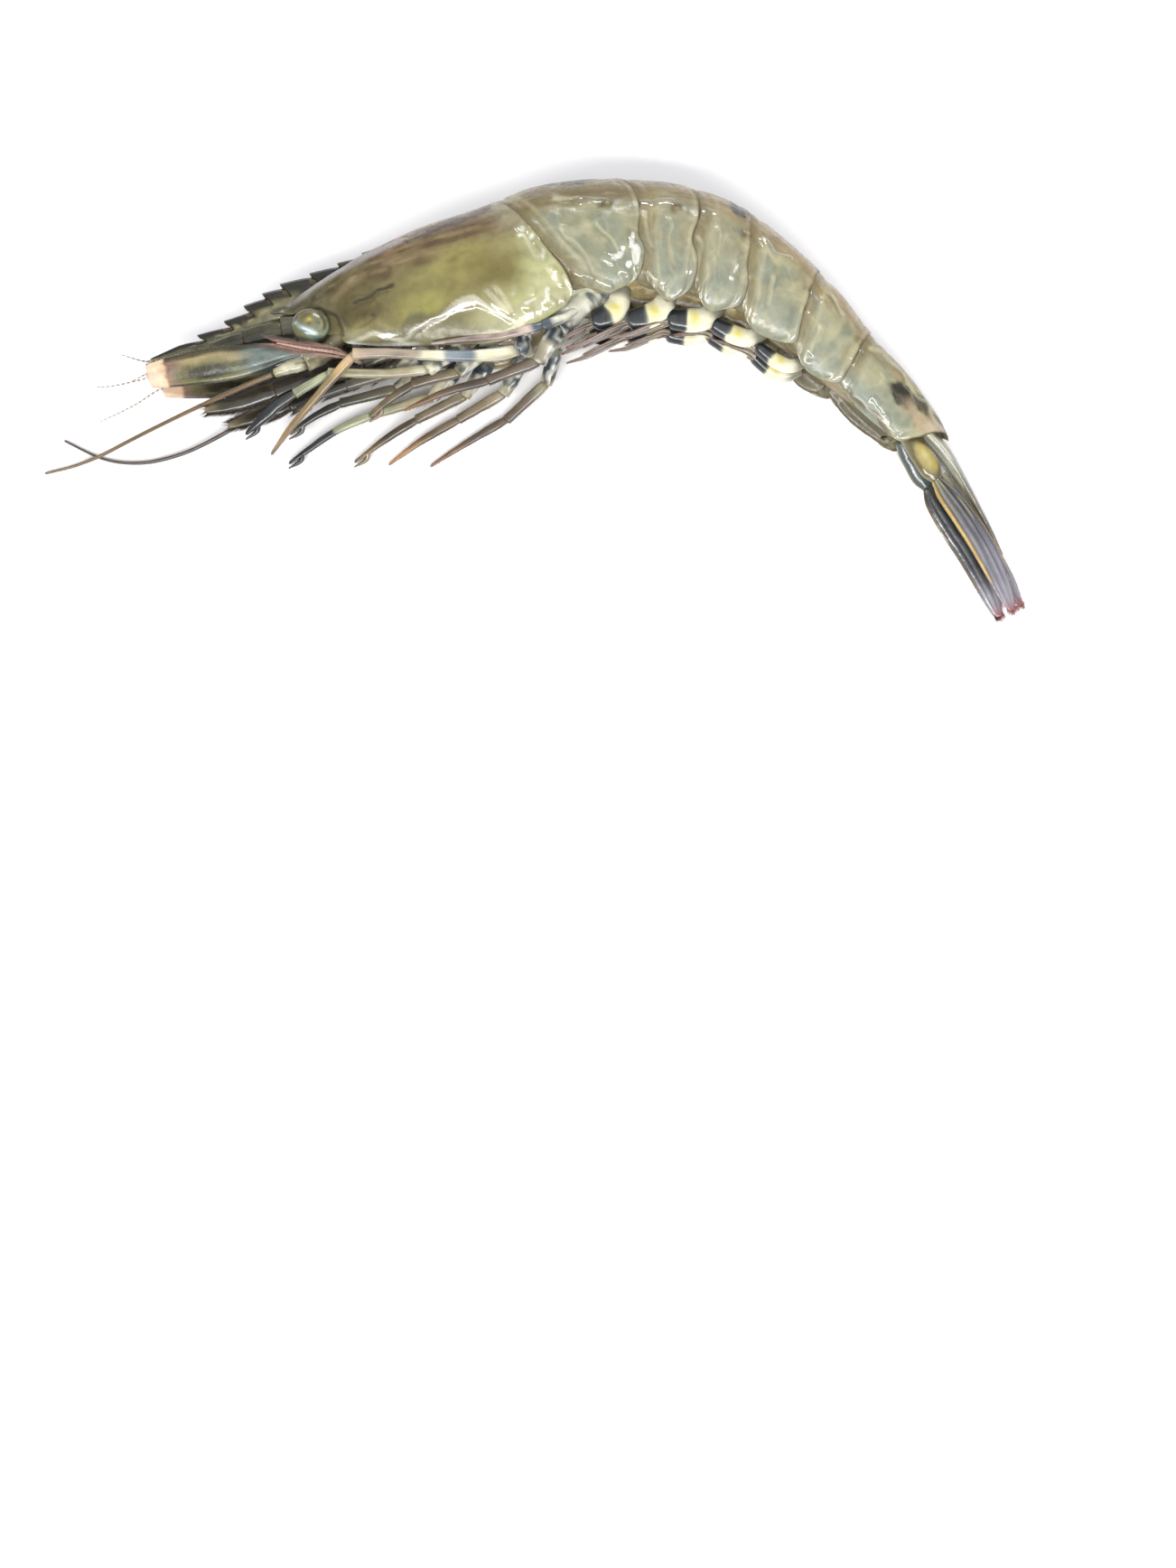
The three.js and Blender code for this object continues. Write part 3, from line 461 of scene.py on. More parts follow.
# Ovals of still water on the rear of the fore shell, wet and painted white as highlights.
REAR_GLEAMS = [                      # centre, half size, lean
    ((42.9, 3.2), (0.5, 0.7), 0), ((42.1, 1.9), (0.6, 0.45), 0), ((44.0, 0.6), (0.35, 0.9), -24),
    ((45.4, -2.6), (0.35, 1.0), -20), ((46.6, -7.4), (0.45, 1.4), -14),
    ((44.8, -10.4), (0.5, 1.1), -10), ((41.2, -11.2), (1.0, 0.4), 14),
]
REAR_DROPS = [
    ((43.0, 1.6), (0.8, 0.8), 0), ((44.6, 3.0), (1.0, 0.9), 0), ((45.2, -0.9), (0.9, 1.1), 0),
    ((40.6, -12.0), (1.4, 1.2), 0), ((43.6, -6.6), (0.9, 2.4), -14),
    ((41.6, -9.2), (1.0, 1.2), 0), ((46.6, -4.4), (0.8, 1.8), -12),
    ((44.4, -11.4), (1.1, 1.3), 0), ((38.6, -8.0), (1.0, 1.0), 0),
]
WATER_RISE = 0.24
DARK_SPOTS = [                       # centre, half size, colour, strength
    ((21.8, 1.6), (2.6, 1.2), "#5d4f35", 0.7), ((12.4, 1.7), (2.4, 1.3), "#54482e", 0.75),
    ((10.2, -6.0), (0.6, 0.6), "#4a3c22", 0.9), ((28.5, 0.8), (1.8, 0.8), "#6b5f3a", 0.6),
    ((8.0, -4.4), (2.2, 1.1), "#5b4d2b", 0.7), ((9.5, 4.2), (2.6, 0.8), "#6a6048", 0.6),
    ((5, -2.8), (1.4, 2.2), "#5a5030", 0.5), ((26, 6.0), (4, 0.9), "#7a6a4a", 0.6),
]
LIVER_RINGS = [((7.6, -4.6), 3.0), ((13.2, 1.0), 1.7)]     # centre, radius


def shifted(route, out, along=0.0):
    return [(a + along, o + out) for a, o in route]


def stripe(distance, middle, width):
    return np.exp(-((distance - middle) / width) ** 2)


def ledge(place):
    """The swollen lower edge of the gill room: how high it stands, and where it is wet and painted
    white as a highlight.
    """
    lip = np.interp(place.along, *zip(*GILL_RIDGE))
    wide = np.interp(place.along, *zip(*LEDGE_WIDTHS))
    above = place.out - lip
    inside = ease(0, 2, place.along) * ease(38, 36.5, place.along)
    high = LEDGE_SLOPE * wide * np.clip(above / wide, 0, 1) * inside * ease(12, 18, place.along)
    high = high * np.exp(-(np.maximum(above - wide, 0) / 5) ** 2)
    wet = ease(-0.1, 0.1, above) * ease(1.15, 0.9, above / wide) * inside
    return high, wet


def bead(place, route, width):
    """A line of standing water, with the round back that it has."""
    return np.sqrt(stroke(place, route, width))


def drop(place, centre, size, lean):
    """A drop of water: a shallow cap, highest in the middle."""
    return np.clip(1 - from_centre(place, centre, size, lean), 0, 1)


def gleam(place, gleams):
    """Where a film of water stands still: wet there, and painted white as a highlight."""
    shine = np.zeros_like(place.out)
    for centre, size, lean in gleams:
        shine = np.maximum(shine, blot(place, centre, size, lean))
    return ease(0.3, 0.45, shine + 0.12 * grain(place_mm(place), 0.9, 8))


def calm(place, gleams):
    """Where water stands, the grain of the shell under it is smoothed over."""
    still = np.ones_like(place.out)
    for centre, size, lean in gleams:
        still = still * (1 - 0.95 * ease(0.15, 0.4, blot(place, centre, size, lean)))
    return still


def swelling(mm):
    """Standing water is thick in one place and thin in the next."""
    return 1 + 0.5 * grain(mm, 2.6, 7)


def carapace_relief(place):
    """Ridges and dents of the fore shell, in mm."""
    mm = place_mm(place)
    loose = warped(place, 0.5, 3.0, 5)
    height = 0.5 * stroke(place, CHEEK_RIDGE, 1.8) * ease(-9, -2, place.along)
    height += ledge(loose)[0]
    height -= 0.1 * stroke(loose, LIVER_STREAK, 1.1) + 0.1 * stroke(loose, LIVER_EDGE, 1.2)
    height += 0.1 * stroke(place, ORBIT, 0.9)
    for fold in REAR_FOLDS + GILL_FOLDS:
        height += 0.3 * stroke(loose, fold, 0.8 * swelling(mm))
    for centre, size, lean in REAR_DROPS:
        height += WATER_RISE * min(size) * drop(loose, centre, size, lean)
    rough = 0.16 * grain(mm, 8.0, 3) + 0.06 * grain(mm, 3.0, 4) + 0.02 * grain(mm, 1.2, 6)
    return height + rough * calm(loose, REAR_GLEAMS)


def carapace_wetness(place):
    """Water gathers along the ridges and in the folds, and drains off the back."""
    loose = warped(place, 0.5, 3.0, 5)
    low = ease(-7, -11, place.out) * ease(26, 34, place.along)
    water = 0.07 + 0.15 * low + 1.5 * ledge(loose)[1]
    water = water + 0.55 * ease(41, 45, place.along - 0.2 * place.out)
    for fold in REAR_FOLDS + GILL_FOLDS:
        water = water + stroke(loose, fold, 1.6)
    for centre, size, lean in REAR_DROPS:
        water = water + 3 * drop(loose, centre, size, lean)
    return np.clip(water + gleam(loose, REAR_GLEAMS) + LIP_WET * lower_lip(place), 0, 1)


def lower_lip(place):
    """The thick lower edge of the cheek, which stays wet and is painted white as a highlight."""
    return ease(134.6, 136.8, place.angle) * ease(1, 3, place.along) * ease(19, 15, place.along)


def paint_rims(tint, place, seed):
    """The pale edge of a shell, partly its own colour and partly a painted highlight, and a broken
    brown line on the curled lip, painted as shade.
    """
    broken = 0.5 + 0.7 * grain(place_mm(place), 2.2, seed)
    return layered(
        tint,
        # The pale line is partly painted highlight; the brown line at the very edge is painted
        # shade.
        ("#c9c198", stripe(place.to_rear, 0.7, 0.35) * broken * 0.5),
        ("#6a5636", ease(0.3, 0.05, place.to_rear) * (0.35 + 0.6 * broken)),
    )


def paint_carapace(place):
    mm, up = place_mm(place), place.height
    loose = warped(place, 1.3, 4.5, 11)
    fine = warped(place, 0.5, 2.0, 17)
    along, out = loose.along, loose.out
    fibres = grain(mm * [0.13, 1.0, 1.0], 0.8, 24)
    tint = layered(
        plain("#948a5c", mm),
        ("#8b7453", ease(0.1, 0.5, up + 0.06 * grain(mm, 4.0, 20))),
        ("#857d47", blot(loose, (20, -4.5), (14, 6.5)) * 0.9),
        ("#a09a52", blot(loose, (29, 0.2), (7, 2.8), 8) * 0.7),
        ("#a49f56", blot(loose, (21, -7.6), (5.5, 2.4)) * 0.7),
        ("#a9a873", ease(36, 43, along - 0.25 * out) * ease(0.5, 0.1, up)),
        ("#c1c28c", blot(loose, (43.5, -7.5), (5.5, 6)) * 0.9),
        ("#b0ae82", ease(-9.5, -12, out) * ease(26, 34, along) * 0.85),
        ("#6f6b47", ease(-8.2, -9.6, out) * ease(7, 12, along) * ease(33, 25, along) * 0.9),
        ("#a0987a", ease(34, 40, along) * ease(0.1, 0.5, up)),
        ("#857a42", blot(loose, (35.5, -3.0), (7.5, 4.4), -16) * 0.95),
        ("#6f6530", blot(loose, (37.0, -4.6), (4.8, 2.8), -20) * 0.7),
        ("#625938", ease(19, 9, along) * ease(-8.5, -5, out) * 0.95),
        ("#939474", ease(10, 4, along) * ease(-7.0, -9.5, out) * 0.9),
        ("#757052", ease(5, -1.0, along) * 0.6),
        ("#7d6c4c", blot(loose, (17, 3.4), (10, 3.4), 6) * 0.85),
        ("#4f3d28", ease(0.1, 0.7, fibres) * ease(0.0, 0.3, up) * ease(42, 34, along) * 0.6),
        ("#b9a888", ease(0.2, 0.8, -fibres) * ease(0.0, 0.4, up) * 0.45),
    )
    for centre, size, text, share in DARK_SPOTS:
        tint = tinted(tint, text, blot(loose, centre, size) * share)
    tint = layered(
        tint,
        ("#8f7d5c", stroke(fine, shifted(LIVER_EDGE, 0.2), 0.9) * 0.45),
        ("#c4875c", blot(loose, (18.0, 7.6), (4.2, 0.9), 12) * 0.75),
    )
    for route in BACK_LINES:
        tint = tinted(tint, "#4a3722", stroke(fine, route, 0.95) * (0.85 + 0.3 * grain(mm, 3, 18)))
    tint = layered(
        tint,
        ("#504e38", ease(3, -6, along) * ease(0.1, 0.4, up) * 0.9),
        ("#26241a", ease(0.1, 0.6, fibres) * ease(4, -4, along) * ease(0.1, 0.4, up) * 0.8),
        ("#b3aca9", stroke(place, CHEEK_RIDGE, 1.2) * 0.7 * ease(-9, -1, place.along)),
        ("#7a6648", ease(0.9, 1.0, up) * 0.5),
        # Painted highlight: a pale lilac line along the back edge, on the left side only.
        ("#c9c2bd", stripe(up, 0.945, 0.02) * (place.side > 0) * ease(6, 14, along) * 0.8),
        ("#3f3c2b", ease(-4.4, -7.4, place.along) * ease(2.6, 3.4, place.out) * 0.9),
        ("#353022", stroke(fine, LIVER_STREAK, 0.5) * 0.9),
        ("#4a4430", stroke(fine, shifted(LIVER_STREAK, -1.0, -0.8), 0.4) * 0.6),
    )
    rough = 0.5 + 0.5 * grain(mm, 2.5, 23)
    for centre, size in LIVER_RINGS:
        ring = np.hypot((fine.along - centre[0]) * 0.8, fine.out - centre[1])
        tint = tinted(tint, "#3f351f", stripe(ring, size, 0.3) * rough * 0.8)
    tint = layered(
        tint,
        ("#3b331f", stroke(fine, ORBIT, 0.65) * 0.85),
        # Painted highlights: the wet gill ledge, the cheek's lower lip and the still water at the
        # rear are painted near white.
        ("#eceada", ledge(loose)[1] * 0.45),
        ("#f6f5ea", lower_lip(place) * 0.85),
        ("#f3f3e6", gleam(warped(place, 0.5, 3.0, 5), REAR_GLEAMS) * 0.8),
    )
    # Painted highlight: a pale line along each wet fold.
    for fold in REAR_FOLDS + GILL_FOLDS:
        tint = tinted(tint, "#e6e3c2", stroke(loose, fold, 0.7) * 0.4)
    tint = paint_rims(tint, place, 13)
    tint = tinted(tint, "#8a6a58", (1 - place.outer) * 0.6)
    streaky = (0.14 * grain(mm * [0.45, 1, 1], 1.8, 15) + 0.1 * grain(mm, 0.9, 14)
               + 0.07 * grain(mm, 4.0, 19))
    return tint * (0.86 + streaky)[..., None]


fore_shell = wet_material("wet_fore_shell", mottle=0.12, speckle=0.35, ripple=0.1)
face_edge = curve_through(CARAPACE_FRONT["angle"], CARAPACE_FRONT["along"], SECTION.angle)
rear_edge = edge_line(CARAPACE_REAR, CARAPACE_LOBE)
place = shell_surface(face_edge, rear_edge, CARAPACE_ROWS, OPEN_FRONT, carapace_relief)
carapace_skin = wrapped(place.points, place.ends, paint_carapace(place), shell_marks(place),
                        carapace_wetness(place))
assemble("carapace_shell", [carapace_skin], fore_shell, ["carapace"])

# ---- Rostrum -------------------------------------------------------------------------
# The beak is a flat, toothed blade of thick horn that grows out of the front of the fore
# shell, on its middle line. Its teeth point forward, and a keel stiffens each side.

CREST = {
    "along": [-36.9, -29.5, -24.2, -18.2, -13.5, -9.2, -5.2, 7.2, 20],
    "top": [-0.3, 1.0, 1.9, 3.3, 5.3, 6.8, 7.8, 9.0, 11.1],
    "bottom": [-0.8, -2.1, -2.3, -1.8, -1.1, -0.5, 0.2, 2.0, 6.0],
    "half": [0.12, 0.55, 0.9, 1.2, 1.5, 1.7, 1.8, 1.0, 0.5],
}
TOP_TEETH = [12.5, 7.2, 1.2, -5.2, -9.2, -13.5, -18.2, -24.2]
BOTTOM_TEETH = [-16.0, -21.5, -27.0]
TOOTH = 1.15
NOTCH = 0.7
TOOTH_LEAN = 2.5
CREST_STEP = 0.16
CREST_PROFILE = [                    # height share from bottom to top, half width share
    (0.0, 0.0), (0.05, 0.4), (0.16, 0.75), (0.3, 1.0), (0.42, 0.9), (0.55, 0.6), (0.75, 0.38),
    (0.92, 0.26), (1.0, 0.0),
]


def tooth_notch(along, teeth, depth):
    """How far the edge lies below the tips of its forward-pointing teeth."""
    drop = np.zeros_like(along)
    for tip, next_tip in zip(teeth, teeth[1:] + [teeth[-1] - 7]):
        behind = (tip - along) / NOTCH
        run = np.clip((along - next_tip) / (tip - NOTCH - next_tip), 0, 1)
        here = np.where(behind < 1, np.clip(behind, 0, 1), run ** 1.4)
        size = depth * (1 + 0.22 * math.sin(2.3 * tip))
        drop = np.where((along <= tip) & (along > next_tip), here * size, drop)
    return drop


def tip_lean(along):
    """Near a tooth's tip the edge is drawn forward, so that the tooth hangs over its notch."""
    near = [np.exp(-((along - tip) / np.where(along < tip, 0.5, 1.4)) ** 2) for tip in TOP_TEETH]
    return TOOTH_LEAN * np.max(near, axis=0)


def rostrum_blade():
    along = np.arange(CREST["along"][0], CREST["along"][-1], CREST_STEP)[:, None]
    top, bottom, half = (curve_through(CREST["along"], CREST[name], along)
                         for name in ("top", "bottom", "half"))
    cut = tooth_notch(along, TOP_TEETH, TOOTH)
    bottom = bottom + tooth_notch(along, BOTTOM_TEETH, TOOTH * 0.5)
    loop = CREST_PROFILE + CREST_PROFILE[-2:0:-1]
    height = np.array([p[0] for p in loop])[None, :]
    width = np.array([p[1] for p in loop])[None, :]
    sign = np.where(np.arange(len(loop)) < len(CREST_PROFILE), 1, -1)[None, :]
    out = bottom + (top - bottom) * height - cut * ease(0.5, 0.8, height)
    side = half * width * sign * (1 - 0.25 * cut * ease(0.4, 0.7, height))
    points = body_point(along - tip_lean(along) * ease(0.55, 1.0, height), out, side)
    mm = np.stack([along + 0 * out, out, side], -1)
    hairs = grain(mm * [0.25, 1.6, 1.6], 0.6, 22)
    tint = layered(
        plain("#6d6a48", mm),
        ("#2a281e", ease(0.45, 0.7, height + 0.12 * hairs)),
        ("#8d8a82", stripe(height + 0 * out, 0.3, 0.1) * ease(-16, -6, along) * 0.7),
        ("#8a8650", ease(0.3, 0.1, height + 0 * out) * 0.7),
        ("#b0ab82", stripe(height + 0.08 * hairs, 0.5, 0.06) * ease(-30, -22, along) * 0.5),
        ("#1f1e18", ease(0.1, 0.7, hairs) * 0.6),
        ("#837a58", ease(6, 16, along + 0 * out) * 0.9),
        ("#7a6a45", (tooth_notch(along, TOP_TEETH, 1.0) > 0.55) * ease(0.8, 1, height) * 0.7),
    )
    tint = tint * (1 + 0.16 * grain(mm * [0.4, 1, 1], 0.8, 21))[..., None]
    ends = (body_point(CREST["along"][0] - 0.5, -0.6, 0), body_point(20.2, 8.6, 0))
    return wrapped(points, ends, tint, mm, 0.3)


assemble("rostrum_blade", [rostrum_blade()], fore_shell, ["carapace"])

# ---- Tail shells ---------------------------------------------------------------------
# Six rings of the same thin horn cover the tail muscle, each tucked under the rim of the
# ring in front. A small ball of dark horn on each side is their hinge, and the flaps at
# the sides end in rounded lobes with a pale, thickened edge.

RIMS = [
    CARAPACE_REAR,
    (59.0, 65.4, 61.5),
    (70.2, 76.6, 73.0),
    (83.4, 88.2, 92.0),
    (100.6, 103.0, 108.0),
    (115.8, 117.4, 120.0),
    (142.5, 138.6, 136.6),
]
FRONT_LOBES = [
    (49.2, 50.4, 53.4), (65.8, 66.6, 70.0), (78.2, 79.4, 82.6), (91.2, 92.8, 95.6),
    (105.2, 106.6, 109.2), (118.9, 119.4, 121.4),
]
REAR_LOBES = [
    (66.2, 65.2, 60.4), (78.4, 78.8, 74.8), (91.2, 92.2, 88.6), (105.2, 106.8, 103.6),
    (118.4, 119.0, 116.4), (137.4, 136.8, 134.6),
]
FLAP_SHARES = [0.82, 0.93, 0.95, 0.97, 1.0, 1.0]
RIM_GAP = 0.25
RING_ROWS = [100, 64, 66, 72, 64, 96]
HINGES = [(59.8, 4.6), (72.5, 3.5), (86.5, 3.3), (102.0, 2.7), (116.0, 2.4)]
BANDS = [                            # dark patches on the back: ring, place, size, lean
    (1, (55.3, 12.2), (3.4, 1.3), 0), (1, (55.6, 12.6), (2.0, 0.9), 0),
    (1, (50, 13.2), (2.2, 0.8), 0), (2, (70.2, 11.2), (2.2, 1.3), 0),
    (3, (83.0, 8.4), (1.7, 2.8), 25), (3, (83.2, 8.2), (1.2, 2.2), 25),
    (4, (100.6, 8.6), (1.7, 1.1), 0), (5, (113.5, 7.2), (1.6, 0.9), 0),
    (6, (130.0, 1.7), (3.4, 1.8), 6), (6, (129.4, 2.6), (2.6, 1.6), 0),
    (6, (133.4, 4.4), (2.7, 1.8), 8), (6, (133.5, 4.2), (2.0, 1.4), 0),
    (6, (139.0, 5.4), (2.6, 0.7), 0),
]
CREASES = {
    1: [[(50.5, 8.3), (54.5, 7.7)], [(50.5, 1.5), (53, -4), (54.2, -8.5)],
        [(57, 1), (60.5, -5.5)]],
    2: [[(66.5, -9), (70.8, -12.2)], [(71, 0.8), (72.4, -7.6)], [(66, 2), (67.5, -4.5)]],
    3: [[(80.5, 1), (82, -6), (81, -11)], [(77.5, -1), (79, -9)]],
    4: [[(95, -1), (97, -6)], [(91, -4), (93, -9)]],
    5: [[(106, 4.6), (110, 3.2)], [(109, -1.5), (110.5, -6)]],
    6: [[(120.8, -5.7), (128, -4.8), (134.8, -3.9)], [(118.5, 4.2), (127, 5.4), (140.5, 4.9)]],
}
WET_LINES = {                        # runs of water that stand on the rings
    1: [[(54.8, 6.1), (57.5, 5.3), (59.4, 5.0)], [(51.4, -7.6), (54.5, -9.6), (57.6, -11.2)],
        [(63.2, -3.4), (64.8, -5.8), (65.0, -8.0)], [(57.4, -5.8), (58.6, -6.5)],
        [(61, -8.5), (62, -9.2)]],
    2: [[(63.8, 4.7), (67.5, 4.2), (71.6, 4.6)], [(75.6, -4.0), (76.9, -7.5)]],
    3: [[(77.2, 3.5), (79.2, 3.9)], [(86.4, -1.2), (87.4, -5.4)]],
    4: [[(89.4, 4.2), (91.0, 3.0), (92.7, 2.3), (95.2, 3.9)]],
    5: [[(103.4, 2.0), (104.2, 0.6), (104.6, -0.8)]],
    6: [[(117.0, 2.4), (117.4, 0.9), (118.2, -1.2)], [(126, -3.2), (129.5, -2.6)]],
}
DROPS = {                            # centre, half size, lean
    1: [((63.6, -3.6), (1.0, 1.5), -12), ((64.4, -5.6), (1.2, 1.6), -8),
        ((64.3, -7.6), (1.0, 1.3), 0), ((59.6, -5.4), (1.4, 0.9), 20),
        ((61.4, -8.4), (1.0, 0.7), 0), ((53.6, -8.8), (1.4, 0.8), -30)],
    2: [((76.6, -5.2), (0.7, 1.2), 0), ((70.6, -10.6), (1.2, 0.8), 0)],
    3: [((87.6, -4.6), (0.6, 1.3), 0)],
    4: [((103.4, -1.4), (0.7, 1.0), 0)],
    5: [((117.0, -1.0), (0.7, 1.2), 0), ((110, -6.4), (0.9, 0.6), 0)],
    6: [((124.0, 1.8), (1.0, 0.6), 0), ((130.6, -3.4), (1.4, 0.6), 6)],
}
# Ovals of still water on the rings, wet and painted white as highlights.
GLEAMS = {                           # the broad white gleams
    1: [((63.7, -3.2), (0.5, 1.7), -16), ((64.3, -5.8), (1.0, 2.0), -8),
        ((60.2, -5.8), (1.5, 0.6), 15), ((61.6, -4.6), (0.6, 0.5), 0),
        ((62.4, -7.4), (0.8, 0.5), 20)],
    3: [((87.5, -4.4), (0.25, 1.0), 0)],
    4: [((89.4, 4.4), (0.4, 0.3), 0)],
}


def ring_relief(index):
    def relief(place):
        mm = place_mm(place)
        loose = warped(place, 0.8, 2.6, 36)
        height = 0.22 * grain(mm, 6.0, 30 + index) + 0.08 * grain(mm, 2.4, 40 + index)
        height = (height + 0.025 * grain(mm, 1.1, 48)) * calm(loose, GLEAMS.get(index, []))
        for route in CREASES[index]:
            height += (0.1 * stroke(loose, route, 1.0)
                       - 0.12 * stroke(loose, shifted(route, -1.1), 1.0))
        for route in WET_LINES[index]:
            height += 0.28 * bead(warped(place, 0.35, 1.6, 37), route, 1.1 * swelling(mm))
        for centre, size, lean in DROPS[index]:
            height += WATER_RISE * min(size) * drop(loose, centre, size, lean)
        height -= 0.25 * stripe(place.from_front, 2.2, 0.8)
        height -= 0.1 * stripe(place.to_rear, 1.6, 0.6)
        height += 0.22 * stripe(place.to_rear, 0.9, 0.8) * ease(-1.5, -4.5, place.out)
        if index < len(RIMS) - 1:
            height += 0.16 * blot(place, HINGES[index - 1], (0.9, 0.9))
        if index > 1:
            socket = (HINGES[index - 2][0] + 1.6, HINGES[index - 2][1])
            height -= 0.5 * blot(place, socket, (1.2, 1.0))
        return height
    return relief


def ring_wetness(index, place):
    water = 0.08 + 0.3 * ease(0.1, 0.6, grain(place_mm(place), 3.0, 38)) * ease(4, 0, place.out)
    water = water + 0.45 * stripe(place.to_rear, 0.6, 1.0) * ease(-1.5, -4.5, place.out)
    for route in WET_LINES[index]:
        water = water + stroke(warped(place, 0.35, 1.6, 37), route, 1.6)
    for centre, size, lean in DROPS[index]:
        water = water + 3 * drop(warped(place, 0.8, 2.6, 36), centre, size, lean)
    water = water + gleam(warped(place, 0.3, 2.6, 36), GLEAMS.get(index, []))
    if index < len(RIMS) - 1:
        water = water * (1 - blot(place, HINGES[index - 1], (1.6, 1.4)))
    return np.clip(water, 0, 1) * place.outer


def paint_ring(index, place):
    mm, up = place_mm(place), place.height
    loose = warped(place, 1.0, 2.8, 49)
    waver = grain(mm, 4.5, 50 + index)
    flakes = grain(mm, 2.4, 56 + index) + 0.5 * grain(mm, 1.2, 57 + index)
    veins = 1 - np.abs(grain(place_mm(loose), 3.4, 60 + index)) / 0.16
    clouds = grain(mm * [0.4, 1, 1], 2.2, 53 + index)
    hairs = grain(mm * [0.16, 1, 1], 0.8, 64 + index)
    saddle = (RIMS[index - 1][0] + RIMS[index][0]) / 2 + 1
    middle = ease(1.5, 5, place.from_front) * ease(1, 4, place.to_rear) * ease(0.35, 0.0, up)
    side = ["#989778", "#9f9b7c", "#a39f80", "#afa985", "#b3ae8a", "#a6a588"][index - 1]
    back = ["#877853", "#9a8961", "#ab976d", "#ad986f", "#af9972", "#aea17a"][index - 1]
    tint = layered(
        plain(side, mm),
        ("#979c89", ease(-0.1, -0.6, up + 0.25 * waver) * 0.8),
        (back, ease(0.28, 0.62, up + 0.14 * waver)),
        ("#858d7c", ease(0.1, 0.8, flakes) * ease(0.55, 0.2, up) * 0.65),
        ("#b9b188", ease(0.2, 0.9, -flakes) * 0.45),
        ("#8b7c55", ease(0.35, 0.8, clouds) * ease(0.25, 0.6, up) * 0.6),
        ("#6b5a3c", ease(0.15, 0.7, hairs) * ease(0.3, 0.6, up) * 0.55),
        ("#cdbd94", ease(0.25, 0.8, -hairs) * ease(0.3, 0.6, up) * 0.35),
        ("#cbc6a6", ease(0, 1, veins) * ease(0.5, 0.15, up) * 0.32),
        ("#86683f", ease(0.3, 0.8, grain(mm, 2.6, 67 + index)) * ease(0.15, 0.5, up) * 0.35),
        ("#86714a", ease(0.85, 1.0, up) * 0.5),
        ("#b07a44", stripe(up, 0.94, 0.022) * (place.side > 0) * 0.7),
        ("#4a4433", stripe(place.along + 0.6 * waver, saddle, 2.2) * ease(0.72, 0.97, up)
         * (0.7 + 0.4 * flakes) * 0.75),
        ("#8e9684", middle * ease(-0.5, 0.6, waver + 0.5 * flakes) * 0.4),
        # Painted shade: darker just behind the rim of the ring in front, where this ring tucks
        # under it.
        ("#8f7d50", ease(4.5, 1.0, place.from_front + waver) * 0.5),
        ("#746746", ease(2.0, 0.3, place.from_front) * 0.5),
        ("#c9c4a0", stripe(place.from_front, 3.2, 0.5) * (0.5 + 0.5 * waver) * 0.5),
        ("#8a7d56", stripe(place.to_rear, 2.0, 0.9) * (0.5 + 0.5 * waver) * 0.35),
    )
    for ring, centre, size, lean in BANDS:
        if ring == index:
            rough = 0.95 + 0.4 * grain(mm, 0.9, 70)
            patch = blot(warped(place, 0.7, 1.6, 71), centre, size, lean) * rough
            tint = layered(
                tint,
                ("#6f6a50", ease(0.15, 0.4, patch) * 0.5),
                ("#30302a", ease(0.32, 0.62, patch) * 0.92),
            )
    for route in CREASES[index]:
        tint = layered(
            tint,
            ("#dcd8b8", stroke(loose, route, 0.7) * 0.45),
            # Painted shade: a darker line in the dent beside each crease.
            ("#7d7454", stroke(loose, shifted(route, -0.9), 0.7) * 0.4),
        )
    if index == 6:
        tint = layered(
            tint,
            ("#c3ab8c", blot(loose, (135.5, 1.4), (4.5, 1.8)) * 0.85),
            ("#dcc7ae", blot(loose, (139.4, 3.2), (2.6, 1.8)) * 0.85),
            ("#98a194", blot(loose, (124, -4.6), (8, 2.6)) * 0.7),
            ("#6b5a3c", stroke(loose, [(120.8, -6.2), (128, -5.2), (134.8, -4.2)], 0.7) * 0.7),
        )
    # Painted highlight: a whitish line along the back edge of the fifth and sixth rings, on the
    # left side only.
    if index in (5, 6):
        tint = tinted(tint, "#dcd6d0", stripe(up, 0.955, 0.022) * (place.side > 0)
                      * ease(113, 118, place.along) * ease(131, 126, place.along) * 0.9)
    if index < len(RIMS) - 1:
        tint = layered(
            tint,
            ("#4a3820", blot(loose, HINGES[index - 1], (1.5, 1.2)) * 0.85),
            ("#a98f55", blot(place, HINGES[index - 1], (0.6, 0.45)) * 0.8),
        )
    # Painted highlight: the still water of the gleams is painted near white.
    tint = tinted(tint, "#f3f3ea", gleam(warped(place, 0.3, 2.6, 36), GLEAMS.get(index, [])) * 0.85)
    tint = paint_rims(tint, place, 80 + index)
    tint = tinted(tint, "#7d6f45" if index < 5 else "#5f5438", (1 - place.outer) * 0.85)
    return tint * (0.84 + 0.08 * grain(mm, 0.9, 90 + index))[..., None]


tail_shell = wet_material("wet_tail_shell", mottle=0.11, speckle=0.25, ripple=0.1)
for index in range(1, len(RIMS)):
    front = edge_line(RIMS[index - 1], FRONT_LOBES[index - 1], RIM_GAP)
    rear = edge_line(RIMS[index], REAR_LOBES[index - 1])
    place = shell_surface(front, rear, RING_ROWS[index - 1], TUCKED_FRONT, ring_relief(index),
                          FLAP_SHARES[index - 1])
    ring = wrapped(place.points, place.ends, paint_ring(index, place), shell_marks(place),
                   ring_wetness(index, place))
    assemble(f"tail_ring_{index}", [ring], tail_shell, [f"abdomen_{index}"])

# ---- Tail muscle ---------------------------------------------------------------------
# Under the rings runs the tail's muscle in its thin, moist skin. It is one soft body of
# beige flesh, and it shows only between the lobes of the rings and along the belly.

MUSCLE_START, MUSCLE_END = 38.0, 139.0
MUSCLE_MIDDLE, MUSCLE_REACH = 88.5, 51.5           # it closes in a round nose at both ends
MUSCLE_SHARES = SimpleNamespace(side=0.86, back=0.86, belly=0.74)
MUSCLE_RADIUS = 9                    # for the grain of its skin
MUSCLE_ROWS, MUSCLE_SIDES = 260, 72


